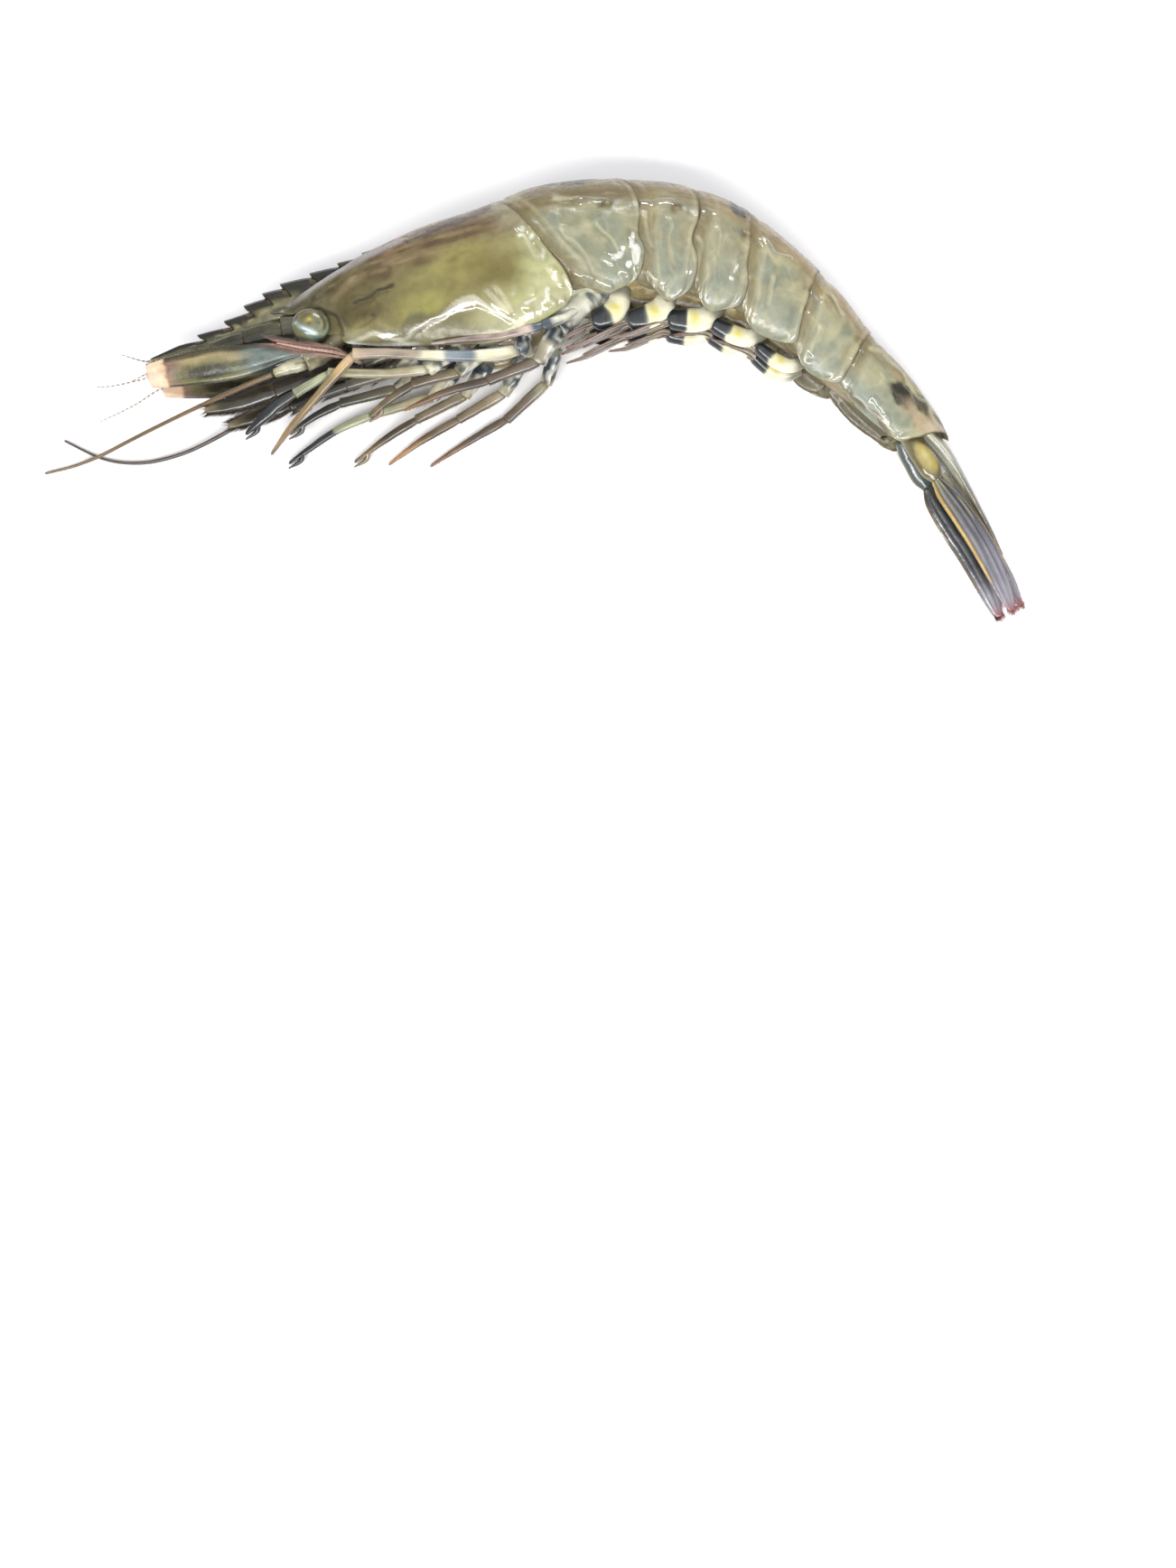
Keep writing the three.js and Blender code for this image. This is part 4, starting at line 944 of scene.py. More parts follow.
def tail_muscle():
    along = np.linspace(MUSCLE_START, MUSCLE_END, MUSCLE_ROWS)[:, None]
    turn = 2 * math.pi * np.arange(MUSCLE_SIDES)[None, :] / MUSCLE_SIDES
    down = np.cos(turn) < 0
    shut = np.sqrt(np.clip(1 - ((along - MUSCLE_MIDDLE) / MUSCLE_REACH) ** 8, 0.02, 1))
    mm = np.stack(np.broadcast_arrays(
        along, MUSCLE_RADIUS * np.cos(turn), MUSCLE_RADIUS * np.sin(turn)), -1)
    near_legs = ease(62, 56, along) * ease(0.2, -0.4, np.cos(turn))
    to_rear = ease(98, 108, along)
    fold = (0.25 * grain(mm, 2.6, 95) + 0.1 * grain(mm, 1.1, 96)) * (1 - 0.8 * to_rear)
    fold = fold * (1 + near_legs) + 1.9 * near_legs * ease(44, 49, along)
    reach = np.where(down, MUSCLE_SHARES.belly * measure("belly", along),
                     MUSCLE_SHARES.back * measure("back", along))
    power = np.where(down, 0.8, 1.0)
    out = np.sign(np.cos(turn)) * np.abs(np.cos(turn)) ** power * (reach + fold) * shut
    side = np.sin(turn) * (MUSCLE_SHARES.side * measure("half", along) + fold) * shut
    tint = layered(
        plain("#9a8b5f", mm),
        ("#6f5f3a", ease(0, 0.8, grain(mm, 3.0, 97)) * 0.7),
        ("#c2b68e", ease(0.2, 0.8, grain(mm, 1.4, 98)) * 0.5),
        # Painted shade: towards the rear, where it shows only in the narrow gap under the last
        # rings, the flesh is painted dark brown.
        ("#6b6042", to_rear + 0 * turn),
        ("#a08c5c", stripe(np.cos(turn), -0.9, 0.12) * ease(105, 112, along) * 0.8),
        ("#bfc0a4", near_legs * 0.9),
        ("#e3e2cf", near_legs * ease(0.0, 0.5, grain(mm, 1.0, 100)) * 0.7),
        ("#37434a", near_legs * ease(0.2, 0.45, grain(mm, 2.2, 99)) * 0.9),
    )
    ends = (body_point(MUSCLE_START - 0.5, 0, 0), body_point(MUSCLE_END + 0.5, 0, 0))
    return wrapped(body_point(along, out, side), ends, tint, mm, 0.8 - 0.6 * to_rear + 0 * turn)


assemble("tail_muscle", [tail_muscle()], tail_shell,
         [f"abdomen_{index}" for index in range(1, len(RIMS))])

# ---- Tail fan ------------------------------------------------------------------------
# The last ring carries a pointed spike and, on each side, a stout stalk with two stiff
# blades. They are dark, ribbed horn with an ochre outer rib, folded shut like a fan, and
# rows of red bristles fringe their edges.

TELSON = [
    (138.0, 2.4, 0, 1.3, 2.2), (143.5, 2.6, 0, 1.4, 2.7), (149, 2.4, 0, 1.1, 2.5),
    (156, 2.0, 0, 0.85, 1.9), (163, 1.6, 0, 0.6, 1.1), (168.3, 1.2, 0, 0.2, 0.25),
]
FAN_STALK = [
    (136.2, -1.8, 2.2, 1.4, 1.1), (138.6, -2.0, 3.0, 2.0, 1.3), (141.6, -2.2, 3.5, 2.3, 1.4),
    (145.2, -2.6, 3.9, 2.25, 1.25), (147.6, -2.8, 4.0, 1.3, 0.8),
]
OUTER_BLADE = [
    (147.6, -3.0, 4.0, 1.0, 0.8), (151, -2.9, 4.4, 1.9, 0.85), (157, -2.6, 4.6, 2.3, 0.75),
    (164, -2.6, 4.5, 2.4, 0.62), (171, -3.2, 4.2, 2.1, 0.5), (176.5, -4.1, 3.8, 1.4, 0.36),
    (179.0, -4.6, 3.6, 0.6, 0.2),
]
INNER_BLADE = [
    (147.4, -0.9, 2.4, 0.8, 0.7), (151.5, -0.8, 2.3, 1.6, 0.75), (158, -0.9, 2.1, 2.0, 0.62),
    (166, -1.1, 2.0, 2.0, 0.55), (173.5, -1.4, 1.9, 1.6, 0.42), (179.2, -1.7, 1.8, 0.5, 0.2),
]
BLADE_RIBS = 11
OUTER_ROLL = -8.0
INNER_ROLL = -25.0
RIGHT_SPREAD = 0.9
BRUSH_RADIUS = 0.06
HANDS = (("left", 1), ("right", -1))


def handed(stations, sign):
    """The stations of the left side, or the same on the right."""
    return [(a, o, s * sign, *size) for a, o, s, *size in stations]


def limb(stations, sides, step, roll=0.0, smooth=True, square=1.0):
    """An oval limb through stations (along, out, side, half width, half thickness)."""
    table = np.array(stations, float)
    length = np.append(0, np.cumsum(np.linalg.norm(np.diff(table[:, :3], axis=0), axis=1)))
    count = max(int(length[-1] / step), len(table)) + 1
    query = np.linspace(0, length[-1], count)
    along, out, side, width, thick = (
        curve_through(length, column, query) if smooth else np.interp(query, length, column)
        for column in table.T)
    centres = body_point(along, out, side)
    course = np.gradient(centres, axis=0)
    course /= np.linalg.norm(course, axis=1)[:, None] + 1e-12
    heading, tilt = np.radians(measure("heading", along)), math.radians(roll)
    across = np.stack([-np.sin(heading) * math.cos(tilt), np.cos(heading) * math.cos(tilt),
                       np.full_like(heading, math.sin(tilt))], -1)
    across -= course * np.einsum("ij,ij->i", across, course)[:, None]
    across /= np.linalg.norm(across, axis=1)[:, None]
    through = np.cross(course, across)
    turn = 2 * np.pi * np.arange(sides) / sides
    cos = np.sign(np.cos(turn)) * np.abs(np.cos(turn)) ** square
    sin = np.sign(np.sin(turn)) * np.abs(np.sin(turn)) ** square
    return SimpleNamespace(
        centres=centres, course=course, across=across, through=through, turn=turn, cos=cos,
        sin=sin, width=width, thick=thick, side=side, run=query, length=length[-1],
        t=query / length[-1],
    )


def limb_mm(path, wide=1, deep=1, run=None):
    """Where the grain of a limb is drawn: along it, across it and through it."""
    run = path.run if run is None else run
    return np.stack(np.broadcast_arrays(run[:, None], path.cos * wide, path.sin * deep), -1)


def limb_skin(path, tint, swell=0.0, wet=0.5):
    """The closed skin of a limb; swell adds mm where relief is wanted."""
    grow = np.zeros((len(path.t), len(path.turn))) + swell
    wide = (path.width[:, None] + grow) * path.cos * MM
    deep = (path.thick[:, None] + grow) * path.sin * MM
    points = (path.centres[:, None] + path.across[:, None] * wide[..., None]
              + path.through[:, None] * deep[..., None])
    points[..., 2] = np.maximum(points[..., 2], 0)
    marks = np.stack(np.broadcast_arrays(
        path.run[:, None], path.turn * np.mean(path.width), path.side[:, None]), -1)
    tips = (path.centres[0] - path.course[0] * 0.15 * path.width[0] * MM,
            path.centres[-1] + path.course[-1] * 0.15 * path.width[-1] * MM)
    return wrapped(points, [np.maximum(t, [-9, -9, 0]) for t in tips], tint, marks, wet)


def gradient(value, stops):
    """Colour along a limb from stops of (share of the way, colour)."""
    places, texts = zip(*stops)
    channels = np.array([shade(text) for text in texts]).T
    return np.stack([np.interp(value, places, channel) for channel in channels], -1)


def banded(path, stops, shift=0.0):
    """Colour along a limb, its bands shifted a little here and there."""
    return gradient(path.t[:, None] + 0 * path.cos + shift, stops)


def bristles(roots, tips, radius, root_text, tip_text):
    """Fine three-sided hairs from their roots to their tips."""
    course = tips - roots
    course /= np.linalg.norm(course, axis=1)[:, None] + 1e-12
    across = np.cross(course, [0.31, 0.47, 0.83])
    across /= np.linalg.norm(across, axis=1)[:, None] + 1e-12
    through = np.cross(course, across)
    rings = [roots + (across * math.cos(a) + through * math.sin(a)) * radius * MM
             for a in (0, 2 * math.pi / 3, 4 * math.pi / 3)]
    verts = np.stack([*rings, tips], 1).reshape(-1, 3)
    verts[:, 2] = np.maximum(verts[:, 2], 0)
    base = (np.arange(len(roots)) * 4)[:, None, None]
    faces = (base + np.array([[0, 1, 3], [1, 2, 3], [2, 0, 3], [2, 1, 0]])).reshape(-1, 3).tolist()
    tint = np.tile(np.stack([shade(root_text)] * 3 + [shade(tip_text)]), (len(roots), 1))
    marks = verts / MM
    return verts, faces, tint, marks, np.full((len(verts), 1), 0.3)


def fringe(path, length, spacing, colours, seed, lean, radius, start=0.0, edges=(1, -1)):
    """Bristles along the edges of a flat limb, coloured from root to tip."""
    rng = np.random.default_rng(seed)
    count = int(path.length * (1 - start) / spacing)
    roots, tips = [], []
    for edge in edges:
        t = np.clip(np.linspace(start, 1, count) + rng.normal(0, 0.3 / count, count), 0, 1)
        centre, across, through, course = (
            np.stack([np.interp(t, path.t, axis) for axis in rows.T], -1)
            for rows in (path.centres, path.across, path.through, path.course))
        width, thick = np.interp(t, path.t, path.width), np.interp(t, path.t, path.thick)
        root = centre + across * (edge * width * 0.92 * MM)[:, None]
        root += through * (rng.uniform(-0.5, 0.5, count) * thick * MM)[:, None]
        reach = length * (0.55 + 0.45 * rng.random(count))
        reach = reach * (0.35 + 0.65 * ease(start, start + 0.25, t)) * MM
        way = across * edge + course * (lean + rng.normal(0, 0.18, count))[:, None]
        way += through * rng.normal(0, 0.12, count)[:, None]
        way /= np.linalg.norm(way, axis=1)[:, None]
        roots.append(root)
        tips.append(root + way * reach[:, None])
    return bristles(np.concatenate(roots), np.concatenate(tips), radius, *colours)


def tip_brush(path, length, count, colours, seed, spread):
    """A brush of bristles from the tip of a limb."""
    rng = np.random.default_rng(seed)
    centre, course = path.centres[-1], path.course[-1]
    across, through = path.across[-1], path.through[-1]
    a = rng.uniform(-1, 1, count)
    root = centre + np.outer(a * path.width[-3] * MM, across)
    root = root - np.outer(np.abs(a) * 0.8 * MM, course)
    way = course + np.outer(a * spread + rng.normal(0, 0.1, count), across)
    way += np.outer(rng.normal(0, 0.1, count), through)
    way /= np.linalg.norm(way, axis=1)[:, None]
    reach = length * (0.6 + 0.4 * rng.random(count)) * MM
    return bristles(root, root + way * reach[:, None], BRUSH_RADIUS, *colours)


def inner_face(path, sign):
    """1 on the side of a limb that faces the middle of the body, 0 on its outer side."""
    return ease(0.05, 0.5, -sign * path.sin)[None, :] + 0 * path.t[:, None]


def paint_blade(path, seed, rib_edge, sign):
    """Grey-violet blade with dark ribs, an ochre outer rib and a red-brown tip."""
    t = path.t[:, None]
    mm = limb_mm(path, 3)
    ribs = np.cos(path.cos * BLADE_RIBS + 0.4 * grain(mm * [0.3, 1, 1], 2, seed))
    rib = ease(0.8, 0.94, rib_edge * path.cos + 0 * t) * ease(0.86, 0.66, t)
    tint = banded(path, [(0, "#8d8a6a"), (0.12, "#6d6c60"), (0.4, "#6f6e76"), (0.7, "#8d8b96"),
                         (0.9, "#a3a0aa"), (1, "#a8808a")], 0.03 * grain(mm, 2, seed + 1))
    return layered(
        tint,
        ("#a5a3ae", ease(0.2, 0.9, ribs) * (0.2 + 0.5 * t)),
        ("#17181a", ease(0.1, 0.9, -ribs) * (0.8 - 0.5 * t)),
        ("#1b1b1d", ease(0.0, 0.6, grain(mm * [0.16, 1.6, 1.6], 1.2, seed + 2)) * (0.7 - 0.4 * t)),
        ("#c5b98f", ease(0.3, 0.8, grain(mm * [0.12, 2, 2], 1.0, seed + 3)) * ease(0.6, 0.3, t)
         * 0.6),
        ("#b8973f", rib),
        ("#8f3f44", ease(0.93, 0.99, t + 0.02 * grain(mm, 1.0, seed + 4)) * 0.6),
        # Painted shade: the face toward the middle of the body is painted near black.
        ("#24282a", inner_face(path, sign) * 0.8 * ease(0.9, 0.6, t)),
    )


def blade_relief(path, rib_edge):
    """How far the ribs, the keel and the thick outer edge stand up, in mm."""
    ribs = 0.07 * np.cos(path.cos * BLADE_RIBS)[None, :] * np.abs(path.sin)
    keel = 0.22 * stripe(path.cos[None, :], 0, 0.16)
    edge = 0.18 * ease(0.75, 0.95, rib_edge * path.cos)[None, :]
    return (ribs + keel + edge) * ease(0, 0.1, path.t)[:, None] * ease(1, 0.85, path.t)[:, None]


def paint_telson(path):
    t = path.t[:, None]
    mm = limb_mm(path, 3, 2)
    hairs = grain(mm * [0.14, 1.8, 1.8], 0.9, 108)
    tint = banded(path, [(0, "#a5a38a"), (0.22, "#a9a998"), (0.45, "#7f7d6d"), (0.8, "#6f6b68"),
                         (1, "#8d6f66")])
    return layered(
        tint,
        ("#e3e1d3", ease(0.2, 0.7, hairs) * ease(0.6, 0.3, t) * 0.8),
        ("#37352c", ease(0.15, 0.7, -hairs) * 0.7),
        ("#6a6a58", stripe(np.abs(path.sin) + 0 * t, 0.55, 0.12) * 0.6),
    )


def paint_fan_stalk(path, seed, sign):
    """Ochre oval in a grey-olive surround on the outer side; on the inner side slate-teal, partly
    its own plainer colour and partly painted shade.
    """
    t = path.t[:, None]
    mm = limb_mm(path, 2, 2)
    oval = blot_on(t, path.cos + 0 * t, (0.56, 0.1), (0.4, 0.85))
    tint = banded(path, [(0, "#8a886c"), (0.3, "#7f7d5c"), (0.75, "#8a8258"), (1, "#6f6a48")])
    tint = layered(
        tint,
        ("#5a4d2a", stripe(oval, 0.35, 0.16) * 0.8),
        ("#aa9a55", ease(0.4, 0.65, oval)),
        ("#bdb07a", ease(0.75, 0.95, oval) * 0.6),
        # Partly painted shade: the inner face is darkened to slate-teal.
        ("#46555a", inner_face(path, sign) * 0.9),
    )
    return tint * (1 + 0.15 * grain(mm, 1.2, seed))[..., None]


def blot_on(t, across, centre, size):
    return np.exp(-((t - centre[0]) / size[0]) ** 2 - ((across - centre[1]) / size[1]) ** 2)


fan_horn = wet_material("wet_fan_horn", dull=0.28, mottle=0.2, speckle=0.3, ripple=0.08, pores=0.03)
path = limb(TELSON, sides=28, step=0.35)
ridges = 0.3 * stripe(np.abs(path.sin), 0.55, 0.12)[None, :] * (1 - path.t)[:, None]
assemble("telson_spike", [limb_skin(path, paint_telson(path), ridges)], tail_shell,
         ["telson"])
for hand, sign in HANDS:
    path = limb(handed(FAN_STALK, sign), sides=24, step=0.3)
    stalk = limb_skin(path, paint_fan_stalk(path, 100 + sign, sign))
    assemble(f"fan_stalk_{hand}", [stalk], tail_shell, [f"tail_stalk_{hand}"])
    outer, inner = handed(OUTER_BLADE, sign), handed(INNER_BLADE, sign)
    if sign < 0:
        outer = [(a, o - RIGHT_SPREAD * min(i, 2) / 2, s, w, t)
                 for i, (a, o, s, w, t) in enumerate(outer)]
    for name, stations, roll, rib_edge, seed, hair_length, brush_length in (
            ("outer", outer, OUTER_ROLL, -1, 110, 1.3, 1.8),
            ("inner", inner, INNER_ROLL, 1, 140, 1.2, 1.7)):
        path = limb(stations, sides=40, roll=roll * sign, step=0.35, square=0.8)
        blade = limb_skin(path, paint_blade(path, seed + sign, rib_edge, sign),
                          blade_relief(path, rib_edge))
        assemble(f"fan_{name}_{hand}", [blade], fan_horn, [f"tail_{name}_{hand}"])
        hairs = [
            fringe(path, hair_length, 0.11, ("#7d4a44", "#b58c86"), seed + 10 + sign,
                   lean=2.2, radius=0.035, start=0.5),
            tip_brush(path, brush_length, 90, ("#8d4038", "#c08a80"), seed + 20 + sign, 0.35),
        ]
        assemble(f"fan_{name}_fringe_{hand}", hairs, fan_horn)

# ---- Eyes ----------------------------------------------------------------------------
# Each eye is a glossy dome of many tiny lenses on a short, jointed stalk of soft horn,
# which comes out under the edge of the fore shell. Its inside is grey-green to near black.

EYE = SimpleNamespace(along=-3.0, out=-4.3, side=6.5, radius=3.8)
EYE_STALK = [
    (2.6, 0.0, 1.6, 1.0, 1.0), (0.9, -0.9, 2.9, 1.05, 1.05), (-0.4, -2.2, 4.4, 1.35, 1.35),
    (-1.4, -3.2, 5.4, 1.7, 1.7),
]
EYE_ROWS, EYE_COLUMNS = 56, 80
EYE_SPOTS = [                        # centre and size in shares of the radius, colour
    (0.02, 0.16, 0.16, "#c9b84a"), (0.05, -0.05, 0.12, "#57452a"), (-0.74, 0.3, 0.15, "#35585f"),
    (-0.72, 0.02, 0.12, "#b9d0d2"), (-0.3, 0.42, 0.2, "#5f4d2c"),
]
EYE_SHAPE = np.array([1.0, 0.88, 0.56])


def eye_ball(sign):
    centre = body_point(EYE.along, EYE.out, EYE.side * sign)
    polar = np.linspace(0.04, math.pi - 0.04, EYE_ROWS)[:, None]
    turn = 2 * math.pi * np.arange(EYE_COLUMNS)[None, :] / EYE_COLUMNS
    unit = np.stack(np.broadcast_arrays(
        np.sin(polar) * np.cos(turn), np.sin(polar) * np.sin(turn), np.cos(polar) * sign), -1)
    points = centre + unit * EYE.radius * MM * EYE_SHAPE
    mm = unit * EYE.radius
    x, y = unit[..., 0], unit[..., 1]
    cloud = grain(mm, 1.8, 171)
    rim = np.hypot(x, y) + 0.06 * grain(mm, 1.4, 174)
    upper = ease(-0.4, 0.1, y + 0.4 * x)
    slant = y + 0.42 * x
    tint = layered(
        plain("#747354", mm),
        ("#87917a", ease(0.0, 0.7, 0.8 * x - 0.5 * y + 0.4 * cloud) * 0.9),
        ("#50533a", ease(0.1, 0.6, grain(mm, 1.0, 172)) * 0.6),
        ("#4c3b1f", stripe(rim, 0.8, 0.08) * upper * 0.8),
        ("#9a8a5a", stripe(rim, 0.66, 0.05) * upper * 0.6),
        # Painted reflection: a pale blue-white streak with a near-white core across the lower part.
        ("#a9c3c8", stripe(slant, -0.42, 0.13) * ease(-0.75, -0.4, x) * ease(0.6, 0.2, x) * 0.8),
        ("#e2eced", stripe(slant, -0.46, 0.06) * ease(-0.5, -0.2, x) * ease(0.4, 0.1, x)),
        ("#5c7a7c", stripe(slant, -0.66, 0.09) * ease(-0.4, 0, x) * 0.8),
    )
    for centre_x, centre_y, size, text in EYE_SPOTS:
        near = stripe(np.hypot(x - centre_x, y - centre_y), 0, size)
        tint = tinted(tint, text, near * (0.7 + 0.6 * grain(mm, 0.5, 173)))
    tint = layered(
        tint,
        ("#615e41", ease(0.72, 0.95, rim) * ease(-0.6, 0.2, y - x) * 0.85),
        # Painted shade: a dark edge where the eye sits in its socket.
        ("#45412b", ease(0.92, 1.0, np.hypot(x, y)) * 0.3),
    )
    pole = np.array([0, 0, EYE_SHAPE[2] * sign]) * EYE.radius * MM
    return wrapped(points, (centre + pole, centre - pole), tint, mm)


eye_gloss = wet_material("wet_eye", dull=0.3, mottle=0.15, speckle=0.5, ripple=0.14, film=0.35)
for hand, sign in HANDS:
    path = limb(handed(EYE_STALK, sign), sides=20, step=0.2)
    tint = banded(path, [(0, "#8a805a"), (0.6, "#777a58"), (1, "#4b4b36")])
    assemble(f"eye_ball_{hand}", [eye_ball(sign), limb_skin(path, tint)], eye_gloss,
             [f"eye_{hand}"])

# ---- Small feelers -------------------------------------------------------------------
# Under the beak lies a pair of three-jointed stems of olive horn. Each ends in two soft,
# ringed whips, and the inner face of the stem is fringed with short hairs.

STEM = [
    (2.4, -3.2, 1.6, 1.9, 1.2), (-4.5, -2.6, 1.9, 2.3, 1.4), (-9.5, -2.2, 2.2, 2.35, 1.6),
    (-17.5, -2.3, 2.3, 1.9, 1.3), (-24.5, -2.6, 2.4, 1.4, 1.0),
]
STEM_JOINTS = (2, 3)
WHIP_SLIM = 0.62
LEFT_WHIPS = [
    [(-23.8, -2.7, 2.4, 0.5, 0.5), (-30, -2.3, 2.8, 0.42, 0.42), (-37, -1.9, 3.0, 0.32, 0.32),
     (-42, 0.9, 2.4, 0.16, 0.16)],
    [(-23.8, -3.2, 2.5, 0.5, 0.5), (-31, -4.4, 1.9, 0.42, 0.42), (-38, -4.6, 1.6, 0.32, 0.32),
     (-45.5, -4.3, 1.2, 0.24, 0.24), (-49, -3.5, 0.6, 0.15, 0.15)],
]
RIGHT_WHIPS = [
    [(-23.8, -2.7, -2.4, 0.5, 0.5), (-30, -2.2, -2.7, 0.42, 0.42), (-38, -1.9, -3.2, 0.28, 0.28),
     (-43, -2.4, -4.4, 0.16, 0.16)],
    [(-23.8, -3.2, -2.5, 0.5, 0.5), (-31, -4.8, -1.8, 0.42, 0.42), (-38, -6.6, -1.6, 0.32, 0.32),
     (-43.2, -7.9, -2.6, 0.25, 0.25), (-51.5, -8.7, -5.0, 0.15, 0.15)],
]
JOINTED_STEP = 0.3                   # between the rows of a jointed limb, in mm
NECK, NECK_LENGTH, NECK_DEPTH = 0.24, 1.5, 0.6     # how a joint narrows, and how deep it is set
CUP, CUP_LENGTH = 0.09, 1.6                        # how the end before it widens


def rounded(distance, length, least):
    """A share of full width that closes an end in a round nose."""
    return np.sqrt(np.clip(1 - (1 - np.clip(distance / length, 0, 1)) ** 2, least, 1))


def jointed(stations, joints, sides=16):
    """A leg or stem as a row of closed horn tubes, each one's neck set in the last one's cup."""
    cuts = [0, *joints, len(stations) - 1]
    tubes, done = [], 0.0
    for start, end in zip(cuts, cuts[1:]):
        part = [list(s) for s in stations[start:end + 1]]
        if start > 0:
            before, here = np.array(stations[start - 1][:3]), np.array(part[0][:3])
            part[0][:3] = here + (before - here) / np.linalg.norm(before - here) * NECK_DEPTH
        path = limb(part, sides, JOINTED_STEP, smooth=len(part) > 2)
        left = path.length - path.run
        swell = 1 - (NECK if start > 0 else 0) * stripe(path.run, 0, NECK_LENGTH)
        swell = swell + (CUP if end < len(stations) - 1 else 0) * stripe(left, 0, CUP_LENGTH)
        swell = swell * rounded(path.run, 0.3, 0.04) * rounded(left, 0.25, 0.04)
        path.width = path.width * swell
        path.thick = path.thick * swell
        path.done = done
        done += path.length
        tubes.append(path)
    for path in tubes:
        path.share = (path.done + path.run) / done
    return tubes


def horn_limb(tubes, stops, seed, rough=0.12, lumps=()):
    """Skins of the tubes, painted by stops along the whole limb; lumps are its lumpy joints."""
    skins = []
    for number, path in enumerate(tubes):
        mm = limb_mm(path, run=path.share * 60)
        jitter = 0.012 * grain(mm, 1.5, seed)
        tint = gradient(path.share[:, None] + jitter + 0 * path.cos, stops)
        tint = tint * (1 + rough * grain(mm * [0.5, 1, 1], 0.9, seed + 1))[..., None]
        streak = grain(mm * [0.22, 2.2, 2.2], 1.3, seed + 2)
        streaky = 1 - 0.5 * ease(0.15, 0.75, streak) + 0.25 * ease(0.3, 0.8, -streak)
        tint = tint * streaky[..., None]
        tint = tint * (1 - 0.4 * ease(-0.1, -0.75, path.cos))[None, :, None]
        patches = grain(mm * [0.45, 1, 1], 2.2, seed + 4)
        tint = tinted(tint, "#2b2d2a", ease(0.3, 0.7, patches) * 0.4)
        joint = ease(1.3, 0.5, path.run)
        tint = tinted(tint, "#5a4a30", joint[:, None] * (path is not tubes[0]) * 0.6 + 0 * path.cos)
        facets = (0.06 * np.cos(3 * path.turn + 0.7)[None, :]
                  + 0.07 * grain(mm * [0.5, 0.8, 0.8], 1.2, seed + 3))
        if number in lumps:
            flesh = limb_mm(path, 2, 2)
            facets = (facets + 0.14 * grain(flesh, 2.0, seed + 5)
                      + 0.06 * grain(flesh, 0.9, seed + 8))
            tint = layered(
                tint,
                ("#414c50", ease(0.3, 0.5, grain(flesh, 2.2, seed + 7)) * 0.8),
                ("#f1f0e2", ease(0.0, 0.5, grain(flesh, 1.1, seed + 6)) * 0.6),
            )
        skins.append(limb_skin(path, tint, facets * np.minimum(path.width, 1.4)[:, None]))
    return skins


def whip(stations, ring_text, gap_text, seed, ring=1.1, sides=10, contrast=0.9):
    """A soft whip of many short rings."""
    path = limb(stations, sides=sides, step=0.12)
    beat = np.cos(2 * np.pi * path.run / ring)
    mm = limb_mm(path)
    rings = (ease(-0.6, 0.6, beat) * contrast)[:, None] + 0 * path.cos
    tint = tinted(plain(gap_text, mm), ring_text, rings)
    tint = tint * (1 + 0.15 * grain(mm, 2.0, seed))[..., None]
    return limb_skin(path, tint, 0.04 * np.minimum(path.width, 0.5)[:, None] * beat[:, None])


limb_horn = wet_material("wet_limb_horn", dull=0.36, mottle=0.16, speckle=0.35, ripple=0.05,
                         film=0.7)
STEM_STOPS = [
    (0, "#72735f"), (0.3, "#5f5e48"), (0.45, "#4d4b33"), (0.7, "#3f3d29"), (0.85, "#3b3925"),
    (1, "#5f573c"),
]
for hand, sign in HANDS:
    tubes = jointed(handed(STEM, sign), STEM_JOINTS)
    skins = horn_limb(tubes, STEM_STOPS, 180 + sign)
    for k, stations in enumerate(LEFT_WHIPS if sign > 0 else RIGHT_WHIPS):
        thin = [(a, o, s, w * WHIP_SLIM, t * WHIP_SLIM) for a, o, s, w, t in stations]
        skins.append(whip(thin, "#6a6258", "#c9c2b8", 184 + k))
    skins.append(fringe(tubes[1], 1.2, 0.3, ("#6b6248", "#9a907a"), 190 + sign, lean=1.2,
                        radius=0.035, edges=(-1,)))
    assemble(f"small_feeler_{hand}", skins, limb_horn, [f"antennule_{hand}"])

# ---- Scales and long feelers ---------------------------------------------------------
# A stiff oval plate stands beside each long feeler, with a thick outer rib that ends in a
# spine and a hairy inner edge. The feeler grows from two thick cream joints, and is a
# long, tapering, finely ringed whip of olive-brown horn, snapped off short here.

SCALE = [
    (-6.4, -8.5, 6.4, 1.1, 0.7), (-9.5, -8.4, 7.0, 1.6, 0.7), (-13.5, -8.2, 7.3, 2.5, 0.55),
    (-19, -7.9, 7.2, 3.2, 0.45), (-25, -7.1, 6.6, 3.3, 0.42), (-31, -6.2, 5.6, 3.0, 0.38),
    (-35.4, -5.6, 4.8, 2.6, 0.34), (-36.9, -5.4, 4.5, 2.35, 0.28), (-37.4, -5.35, 4.4, 1.8, 0.2),
]
SCALE_ROLL = 16.0
RIGHT_SCALE_LAG = 0.4
FEELER_SLIM = 0.68
FEELER_BASE = [
    (2.2, -7.2, 4.2, 1.5, 1.4), (-2.5, -10.6, 5.6, 1.6, 1.5), (-6.0, -11.6, 6.5, 1.55, 1.5),
    (-9.4, -11.6, 6.9, 1.3, 1.2), (-12.6, -12.0, 6.8, 0.8, 0.8),
]
LEFT_FEELER = [
    (-12.9, -12.0, 6.8, 0.8), (-17, -12.2, 5.9, 0.75), (-22.8, -12.4, 3.8, 0.7),
    (-28.5, -12.5, 1.2, 0.65), (-34.5, -12.6, -1.8, 0.62), (-41, -12.8, -5.0, 0.6),
    (-47.5, -13.2, -7.9, 0.58), (-54.8, -14.1, -10.0, 0.55), (-60.8, -14.5, -11.0, 0.5),
    (-67.3, -14.4, -11.3, 0.4),
]
